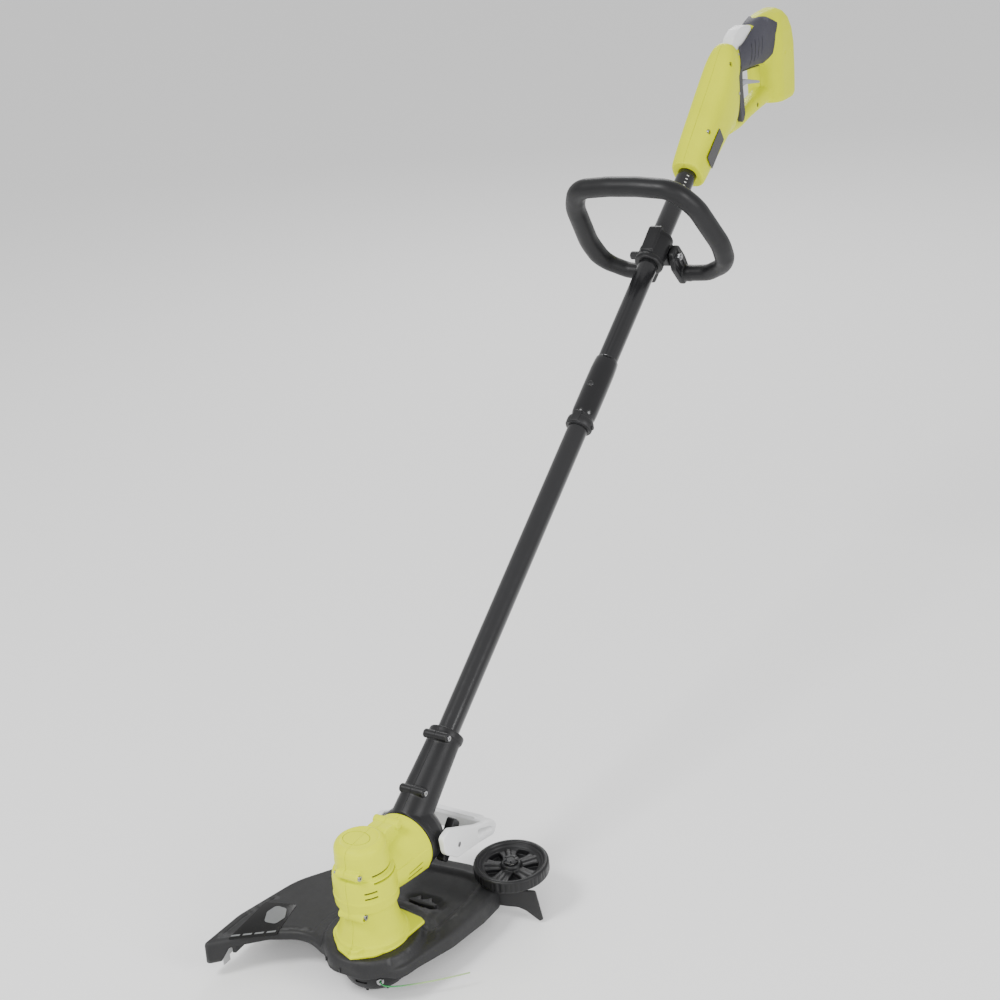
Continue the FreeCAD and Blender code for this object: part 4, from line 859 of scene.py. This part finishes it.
def loop_pieces():
    shape = [(30, -47, 0), (60, -45, 30), (93, -26, 36), (98, 12, 80), (89, 80, 60), (70, 114, 34), (20, 119, 90)]
    whole = shape + [(-a, b, r) for a, b, r in reversed(shape)]
    line = resample(rounded(whole, 10), 2.2)
    start = min(range(len(line)), key=lambda i: (line[i] - Vector((30, -47))).length)
    line = [p for p in line[start:] + line[:start] if not (abs(p.x) < 29.8 and p.y < -30)]
    route = [tube_mm(p.x * (0.96 if p.x < 0 else 1.0), p.y, LOOP_STATION) for p in line]
    radii = [12.8 - 2.2 * min(max((-12 - p.y) / 24, 0), 1) for p in line]
    parts = [swept("loop", route, radii, "black_plastic")]
    ear = rounded([(912, -58, 6), (936, -58, 6), (940, -30, 8), (938, -4, 8), (918, -4, 6), (909, -24, 8)], 6)
    for s in (-1, 1):
        foot = tube_mm(s * 18.8, -47, LOOP_STATION), tube_mm(s * 36, -47, LOOP_STATION)
        parts.append(prism("ear", ear, along_tube, s * 18.8, s * 26.2, bevel=1.0))
        parts.append(bar("foot", *foot, 11.0, dome=1.0))
        for u in (914, 922, 930):
            rib = [(u, -36), (u + 2, -36), (u + 2, -8), (u, -8)]
            parts.append(prism("rib", rib, along_tube, s * 25, s * 27.2))
    body = fused("front_loop", parts, 1.0, 4)
    carve(body, [bolt_way()])
    put(soft(handle_turned(body)), "front_loop", "handle_loop")

    sleeve = [(0, 896.5), (17.2, 896.5), (18.8, 897.6), (19.2, 900), (19.0, 903), (17.8, 904.6), (17.6, 908),
              (17.6, 938), (18.4, 939), (18.2, 942.4), (17.0, 943.6), (0, 943.6)]
    lug = rounded([(906, 8, 2), (947, 8, 2), (949, 17, 3), (944, 20.4, 3), (908, 18.8, 3)], 6)
    low = rounded([(913, -8, 2), (939, -8, 2), (938, -26, 7), (926, -28, 8), (914, -24, 7)], 6)
    body = fused("clamp", [tube_lathe("clamp", sleeve), prism("lug", lug, along_tube, -9.0, 9.0, bevel=1.6),
                           prism("low", low, along_tube, -17.4, 17.4, bevel=1.0)], 0.8, 3)
    carve(body, [tube_lathe("bore", [(0, 890), (12.8, 890), (12.8, 950), (0, 950)], 96), bolt_way(),
                 prism("slit", [(880, -40), (960, -40), (960, -10), (880, -10)], along_tube, -0.6, 0.6)])
    put(soft(handle_turned(body)), "clamp", "handle_clamp")

    end = tube_mm(-27, *BOLT)
    knob = lathe("bolt_knob", [(0, 0), (5.0, 0), (5.6, 0.6), (5.4, 14.4), (4.6, 15.4), (2.0, 15.9), (0, 16)],
                 at=end, axis=(-1, 0, 0), seg=64)
    for v in knob.data.vertices:    # eight shallow flutes
        p = v.co - tp(-27, *BOLT)
        if math.hypot(p.y, p.z) > 5.2 * MM:
            f = 0.03 * (0.5 + 0.5 * math.cos(8 * math.atan2(p.z, p.y)))
            v.co.y -= p.y * f
            v.co.z -= p.z * f
    put(soft(handle_turned(knob), 35), "front_loop")


# ---- rear handle
def rear_pieces():
    rear_shells()
    rear_grip()
    trigger_and_lock()


def rear_shells():
    body = [
        ((861, 684), (885, 647), 19.5, 2.6), ((866, 690), (890, 648), 21.6, 2.8),
        ((900, 722), (918, 664), 22.6, 3.0), ((935, 753), (948, 679), 23.6, 3.1),
        ((962, 778), (975, 692), 24.0, 3.1), ((985, 801), (994, 696), 23.0, 3.0),
        ((1004, 812), (1006, 701), 20.5, 2.8), ((1022, 806), (1011, 724), 17.0, 2.6),
        ((1030, 795), (1015, 752), 14.0, 2.4)]
    grip = [
        ((998, 804), (994, 764), 15.0, 2.4), ((1022, 800), (1020, 765), 15.0, 2.4),
        ((1045, 804), (1046, 765.5), 15.6, 2.3), ((1068, 813), (1069, 764.5), 16.6, 2.3),
        ((1092, 823), (1093, 763), 17.0, 2.4), ((1120, 830.5), (1122, 760), 18.0, 2.6),
        ((1150, 831.4), (1152, 756), 22.0, 2.8)]
    strut = [
        ((990, 718), (994, 690), 14.5, 2.6), ((1030, 711), (1030, 691.5), 12.4, 2.6),
        ((1060, 716.5), (1062, 697), 12.0, 2.6), ((1090, 722.5), (1092, 701), 12.4, 2.6),
        ((1132, 731), (1132, 706), 14, 2.8)]
    # the battery dock, as rings of height, front and back, half width and squareness
    dock = [
        (704.0, 1132, 1188, 24.6, 4.6), (705.4, 1129, 1192, 26.0, 5), (710, 1126.5, 1195, 27, 5.5),
        (722, 1125.5, 1196, 27.2, 5.5), (750, 1123.5, 1198, 27, 5), (780, 1124, 1198, 26.8, 4.6),
        (800, 1126, 1195, 25.5, 4.2), (816, 1131, 1189, 22.5, 3.6), (826, 1140, 1180, 17, 3),
        (831.2, 1151, 1169, 9, 2.4)]
    rings = []
    for z, y0, y1, w, power in dock:
        ring = []
        for k in range(72):
            c, s = squircle(k, 72, power)
            y = (y0 + y1) / 2 + (y1 - y0) / 2 * s
            front = min(max((y - y0) / 26, 0), 1)
            ring.append(Vector((w * c * (0.62 + 0.38 * math.sqrt(1 - (1 - front) ** 2)), y, z)))
        rings.append(ring)
    nose = [(0, 1051), (17.6, 1051), (18.6, 1052.2), (18.8, 1066), (0, 1066)]
    parts = [loft("body", smooth_sections(body, 5), "lime"), loft("grip", smooth_sections(grip, 5), "lime"),
             loft("dock", rings, "lime"), loft("strut", smooth_sections(strut, 5), "lime"),
             lathe("nose", nose, "lime", TUBE_FOOT, UP_TUBE, 96)]
    shell = fused("rear_handle", parts, 1.15, 4)
    socket = rounded([(-22.6, 1135, 9), (22.6, 1135, 9), (22.6, 1192, 3), (-22.6, 1192, 3)], 6)
    lever = rounded([(-8.5, 1006, 3), (8.5, 1006, 3), (8.5, 1086, 6), (-8.5, 1086, 6)], 5)
    trigger = rounded([(-6.6, 990, 1), (6.6, 990, 1), (6.6, 1030, 1), (-6.6, 1030, 1)], 3)
    cuts = [lathe("bore", [(0, 1040), (12.8, 1040), (12.8, 1160), (0, 1160)], "lime", TUBE_FOOT, UP_TUBE, 96),
            prism("socket", socket, plan, 690, 752, "lime", 1.0), prism("lever_slot", lever, plan, 788, 850, "lime"),
            prism("trigger_slot", trigger, plan, 731, 775, "lime")]
    for x, y, z in ((17.0, 905, 716), (15.0, 985, 788), (12.0, 1110, 818), (9.0, 1085, 712)):
        cuts.append(hole((x, y, z), (40, y, z), 3.4, "lime"))
    for y in (1152, 1176):
        cuts.append(hole((26.2, y, 772), (33, y, 772), 3.2, "lime", 0.4))
    carve(shell, cuts)
    seam(shell, ("rear_shell_left", "rear_shell_right"), "frame", ("handle_shell_left", "handle_shell_right"), "lime")


def rear_grip():
    skin = loft("skin", smooth_sections([
        ((1016, 802.6), (1018, 763.6), 16.4, 2.4), ((1045, 805.6), (1046, 764.0), 17.0, 2.3),
        ((1068, 814.6), (1069, 763.0), 18.0, 2.3), ((1092, 824.6), (1093, 761.4), 18.5, 2.4),
        ((1120, 832.0), (1122, 758.4), 19.6, 2.6), ((1160, 833.4), (1160, 754.4), 24.0, 2.8)], 7), "soft_grip")
    patch = rounded([(1021, 762, 3), (1024, 792, 10), (1040, 806, 8), (1058, 817, 8), (1086, 824, 8), (1116, 829, 20),
                     (1146, 813, 18), (1156, 795, 10), (1146, 785, 10), (1120, 770, 14), (1084, 757, 12),
                     (1060, 756, 8)], 8)
    carve(skin, [prism("zone", patch, side, -40, 40, "soft_grip")], "INTERSECT")
    w = Vector((1.1, 0.3))          # half the width of a groove
    for k in range(4):
        a, b = Vector((1066 + 10 * k, 819 + 1.2 * k)), Vector((1052 + 12 * k, 768))
        line = [a - w, a + w, b + w, b - w]
        floor = 14.8 + 0.9 * k
        carve(skin, [prism("groove", line, side, x * floor, x * 30, "soft_grip") for x in (-1, 1)])
    gap = [(-9, 1000), (9, 1000), (9, 1088), (-9, 1088)]
    core = [(1000, 770), (1162, 760), (1162, 812), (1100, 816), (1050, 797), (1000, 792)]
    carve(skin, [prism("lever_gap", gap, plan, 787, 850, "soft_grip"),
                 prism("core", core, side, -12, 12, "soft_grip")])
    put(soft(bevelled(skin, 0.35, 2, 50), 40), "frame", "grip_left", "grip_right", slot="soft_grip")

    edge = rounded([(1005, 768, 3), (1006, 736, 10), (1013, 704, 3), (1030, 704, 4), (1034, 712, 5),
                    (1026, 755, 20), (1030, 780, 4)], 6)
    beside = [(1000, 690), (1060, 690), (1060, 790), (1000, 790)]
    for x, name in ((-1, "rear_strip_right"), (1, "rear_strip_left")):
        strip = prism(name, edge, side, x * 11.5, x * 21.0, "soft_grip", 1.6)
        # clear of the strip: it removes nothing and only lays the strip's faces out afresh
        carve(strip, [prism("beside", beside, side, x * 60, x * 61, "soft_grip")], solver="MANIFOLD")
        for v in strip.data.vertices:       # follows the body as it narrows
            y = v.co.y / MM
            room = 20.6 - 5.4 * min(max((y - 1004) / 26, 0), 1) ** 1.4
            v.co.x = math.copysign(min(abs(v.co.x) / MM, room), x) * MM
        put(soft(strip, 40), "frame", slot="soft_grip")


def trigger_and_lock():
    blade = rounded([(996, 773, 2), (1002, 773, 2), (1008, 757, 8), (1024, 753, 12), (1062, 752.6, 30),
                     (1109, 741, 1.5), (1112, 737, 1.5), (1062, 745.4, 40), (1026, 741, 12), (1000, 736, 6),
                     (995, 742, 3)], 8)
    trigger = prism("trigger_blade", blade, side, -5.8, 5.8, "trigger_grey", 1.3)
    carve(trigger, [hole((-9, 1001, 746), (9, 1001, 746), 2.1, "grey_plastic")])
    put(soft(trigger, 40), "trigger_blade", "trigger", slot="grey_plastic")
    lever = rounded([(1016, 789, 2), (1010, 803, 4), (1022, 817, 5), (1038, 824, 8), (1060, 826, 10), (1078, 823, 4),
                     (1082, 817, 3), (1062, 806, 14), (1040, 797, 10), (1028, 789, 3)], 8)
    lock = prism("lock_lever", lever, side, -7.8, 7.8, "grey_plastic", 1.8)
    cuts = []
    for k in range(4):
        y, z = 1052 + 5.0 * k, 822.6 - 0.5 * k
        notch = [(y, 830), (y + 2, 830), (y + 1.6, z), (y + 0.4, z)]
        cuts.append(prism("notch", notch, side, -12, 12, "grey_plastic"))
    cuts.append(hole((-12, 1022, 794), (12, 1022, 794), 1.7, "grey_plastic"))
    carve(lock, cuts)
    put(soft(lock, 40), "lock_lever", "lock_off", slot="grey_plastic")


# ---- wheel and spool
def wheel_pieces():
    c = (*WHEEL, 0)
    tyre = [(36.6, 46.9), (40.6, 46.5), (42.4, 47.4), (43.2, 49.2), (43.2, 58.6), (42.6, 60.4), (40.8, 61.5),
            (38.6, 61.5), (37.4, 60.6), (36.8, 59.0), (35.4, 54.8), (35.4, 50.0), (36.0, 47.8)]
    rim = washer("rim", tyre, at=c, seg=180)
    for v in rim.data.vertices:     # tread: a groove across the tyre every 8 degrees
        p = v.co / MM - Vector(c)
        r = math.hypot(p.x, p.y)
        if r > 42.3 and 48 < p.z < 60.0:
            turn = math.degrees(math.atan2(p.y, p.x)) % 8.0
            f = (r - (0.6 if turn < 2.0 else 0)) / r
            v.co.x = (c[0] + p.x * f) * MM
            v.co.y = (c[1] + p.y * f) * MM
    hub = [(6.1, 47.0), (11.0, 47.0), (12.2, 48.0), (12.6, 52.0), (12.0, 57.2), (10.4, 59.8), (6.1, 59.8)]
    lip = [(30.0, 49.8), (36.4, 49.2), (36.4, 58.6), (35.2, 58.8), (33.4, 56.4), (30.8, 55.4)]
    plate = [(10, 47.4), (37.2, 47.4), (37.2, 48.8), (10, 48.8)]
    spoke = ((8, -6.6), (22, -8.6), (33, -13.0), (34.5, 0), (33, 13.0), (22, 8.6), (8, 6.6))
    ridge = ((9, -2.2), (33, -2.8), (33, 2.8), (9, 2.2))
    parts = [rim, washer("hub", hub, at=c), washer("lip", lip, at=c, seg=144), washer("plate", plate, at=c)]
    for i in range(5):
        turn = 72 * i + 56
        parts.append(prism("spoke", petal(turn, spoke, WHEEL), plan, 49.6, 54.6, bevel=0.7))
        parts.append(prism("ridge", petal(turn, ridge, WHEEL), plan, 54.0, 55.8, bevel=0.5))
    put(soft(fused("edging_wheel", parts, 0.75, 2)), "wheel", "edge_wheel")
    cap = lathe("hub_cap", [(0, 61.0), (6.8, 61.0), (8.4, 61.3), (9.0, 62.0), (9.0, 62.8), (8.0, 63.6), (5.0, 63.9),
                            (4.4, 63.1), (0, 63.0)], at=c, seg=64)
    notch = ((5.4, -0.7), (10, -0.9), (10, 0.9), (5.4, 0.7))
    carve(cap, [prism("notch", petal(60 * i, notch, WHEEL), plan, 62.6, 66) for i in range(6)])
    pin = bar("pin", (*WHEEL, 37), (*WHEEL, 61.5), 4.0, dome=0.5)
    put(soft(joined("hub_cap", [cap, pin]), 35), "head", "wheel_axle")


def spool_pieces():
    sides = (-84, 96)               # directions of the two tabs and their windows
    bowl = [(30.6, 12.6), (33.4, 8.4), (35.2, 9.6), (36.4, 13.0), (36.5, 17.5), (36.5, 26.5), (36.2, 27.2),
            (36.2, 28.2), (36.5, 28.9), (36.5, 35.0), (35.2, 37.2), (33.0, 38.0), (9.0, 38.0), (9.0, 35.0),
            (32.0, 35.0), (33.6, 33.6), (34.0, 30), (34.0, 15.0), (32.6, 12.9)]
    shell = washer("spool_bowl", bowl, seg=160)
    out, port = Vector((*polar(1, EYELET_TURN), 0)), Vector((0, 0, LINE_Z))
    window = ((31, -7), (40, -7), (40, 7), (31, 7))
    carve(shell, [hole(out * 30 + port, out * 40 + port, 2.7)]
          + [prism("window", petal(turn, window), plan, 14.2, 17.4) for turn in sides])
    put(soft(shell, 32), "spool", "spool_cup")

    plate = [(0, 0.2), (9, 0.2), (10, 1.2), (13, 1.4), (15, 0.4), (20, 0.2), (26, 1.0), (31, 3.4), (33.6, 6.4),
             (34.6, 8.8), (33.4, 9.4), (31.6, 9.6), (29.6, 12.4), (28.4, 8.6), (22, 4.2), (0, 3.6)]
    rib = ((17, -1.0), (30, -1.4), (30, 1.4), (17, 1.0))
    parts = [lathe("spool_plate", plate, seg=144)]
    parts += [prism("grip_rib", petal(45 * i + 10, rib), plan, 0.1, 4.2, bevel=0.4) for i in range(8)]
    base = joined("spool_base", parts)
    tab = ((-10, 31.4), (-10, 34.9), (0, 35.2), (10, 34.9), (10, 31.4))     # degrees and radius
    tabs = [prism("tab", [polar(r, turn + q) for q, r in tab], plan, 9.0, 16.6, bevel=0.3) for turn in sides]
    put(soft(joined("spool_base", [base] + tabs), 35), "spool", "spool_cap")
    eye = washer("eyelet_ring", [(1.15, 32.0), (2.5, 32.0), (2.5, 36.6), (3.9, 36.8), (4.2, 37.4), (3.8, 38.2),
                                 (2.6, 38.4), (1.5, 38.0), (1.15, 37.2)], "zinc", port, out, 64)
    put(soft(eye, 35), "spool", "line_eyelet", slot="zinc")

    # the route of the cutting line, as in the CAD
    route = [(23.14, -27.58, 17.0), (28.3, -33.7, 17.0), (42.0, -29.5, 16.8), (62.0, -14.5, 16.6),
             (84.0, 3.5, 16.8), (105.0, 24.0, 17.2)]
    curve = bpy.data.curves.new("cutting_string", "CURVE")
    curve.dimensions = "3D"
    curve.bevel_depth = 0.825 * MM
    curve.bevel_resolution = 5
    curve.resolution_u = 24
    curve.use_fill_caps = True
    spline = curve.splines.new("NURBS")
    spline.points.add(len(route) - 1)
    for point, at in zip(spline.points, route):
        point.co = (*(Vector(at) * MM), 1)
    spline.order_u = 3
    spline.use_endpoint_u = True
    line = linked("cutting_string", curve)
    curve.materials.append(line_material(Vector(route[1]) * MM))
    put(line, "spool", "cutting_line", slot="line_green")


def line_material(root):
    """Nylon line: deep green at the eyelet, paler and frayed towards the tip."""
    m = M["line_green"].copy()
    m.name = "cutting_line_green"
    t = m.node_tree
    base = t.nodes["Principled BSDF"].inputs["Base Color"]
    deep = base.links[0].from_socket
    away = node(t, "ShaderNodeVectorMath", operation="DISTANCE")
    away.inputs[1].default_value = root
    t.links.new(node(t, "ShaderNodeTexCoord").outputs["Object"], away.inputs[0])
    fade = remap(t, away.outputs["Value"], 0.018, 0.045)
    t.links.new(mixed(t, fade, deep, (0.36, 0.52, 0.22, 1)), base)
    return m


# ---- stage
FLOOR_HALF = 30                 # metres from the middle to an edge
LAMPS = (                       # name, place, width, power, what it points at
    ("key", (-0.7, -1.1, 2.3), 0.8, 40, (0, 0.3, 0.3)),
    ("side", (2.2, -0.2, 1.2), 1.0, 27, (0, 0.5, 0.4)),
    ("back", (-1.0, 2.6, 1.9), 1.2, 22, (0, 0.6, 0.5)),
    ("head_soft", (0.5, -0.9, 0.9), 0.6, 4, (0, 0.05, 0.1)))


def studio():
    """Plain pale floor, soft lamps and a camera."""
    mesh = bpy.data.meshes.new("floor")
    corners = [(x * FLOOR_HALF, y * FLOOR_HALF, 0) for x, y in ((-1, -1), (1, -1), (1, 1), (-1, 1))]
    mesh.from_pydata(corners, [], [(0, 1, 2, 3)])
    ground = linked("floor", mesh)
    ground.location.z = -0.0005
    m = bpy.data.materials.new("pale_floor")
    m.use_nodes = True
    pale = m.node_tree.nodes["Principled BSDF"].inputs
    pale["Base Color"].default_value = (0.88, 0.88, 0.88, 1)
    pale["Roughness"].default_value = 0.9
    pale["Emission Color"].default_value = (1, 1, 1, 1)
    pale["Emission Strength"].default_value = 0.12
    mesh.materials.append(m)
    world = bpy.data.worlds.new("studio")
    world.use_nodes = True
    sky = world.node_tree.nodes["Background"].inputs
    sky["Color"].default_value = (1, 1, 1, 1)
    sky["Strength"].default_value = 0.85
    bpy.context.scene.world = world
    for name, at, size, power, aim in LAMPS:
        data = bpy.data.lights.new(name, "AREA")
        data.shape = "DISK"
        data.size = size
        data.energy = power
        lamp = linked(name, data)
        lamp.location = at
        lamp.rotation_mode = "QUATERNION"
        lamp.rotation_quaternion = (Vector(aim) - Vector(at)).to_track_quat("-Z", "Y")
    data = bpy.data.cameras.new("view")
    data.lens = 64.8
    data.sensor_width = 36
    cam = linked("view", data)
    right = Vector((0.85953, 0.50325, -0.08910))
    up = Vector((-0.13279, 0.38825, 0.91194))
    turn = Matrix((right, up, right.cross(up))).transposed().to_4x4()
    cam.matrix_world = Matrix.Translation((1.01655, -1.25142, 1.24776)) @ turn
    bpy.context.scene.camera = cam


guard_pieces()
housing_pieces()
elbow_pieces()
pedal_piece()
tube_details()
loop_pieces()
rear_pieces()
wheel_pieces()
spool_pieces()
studio()
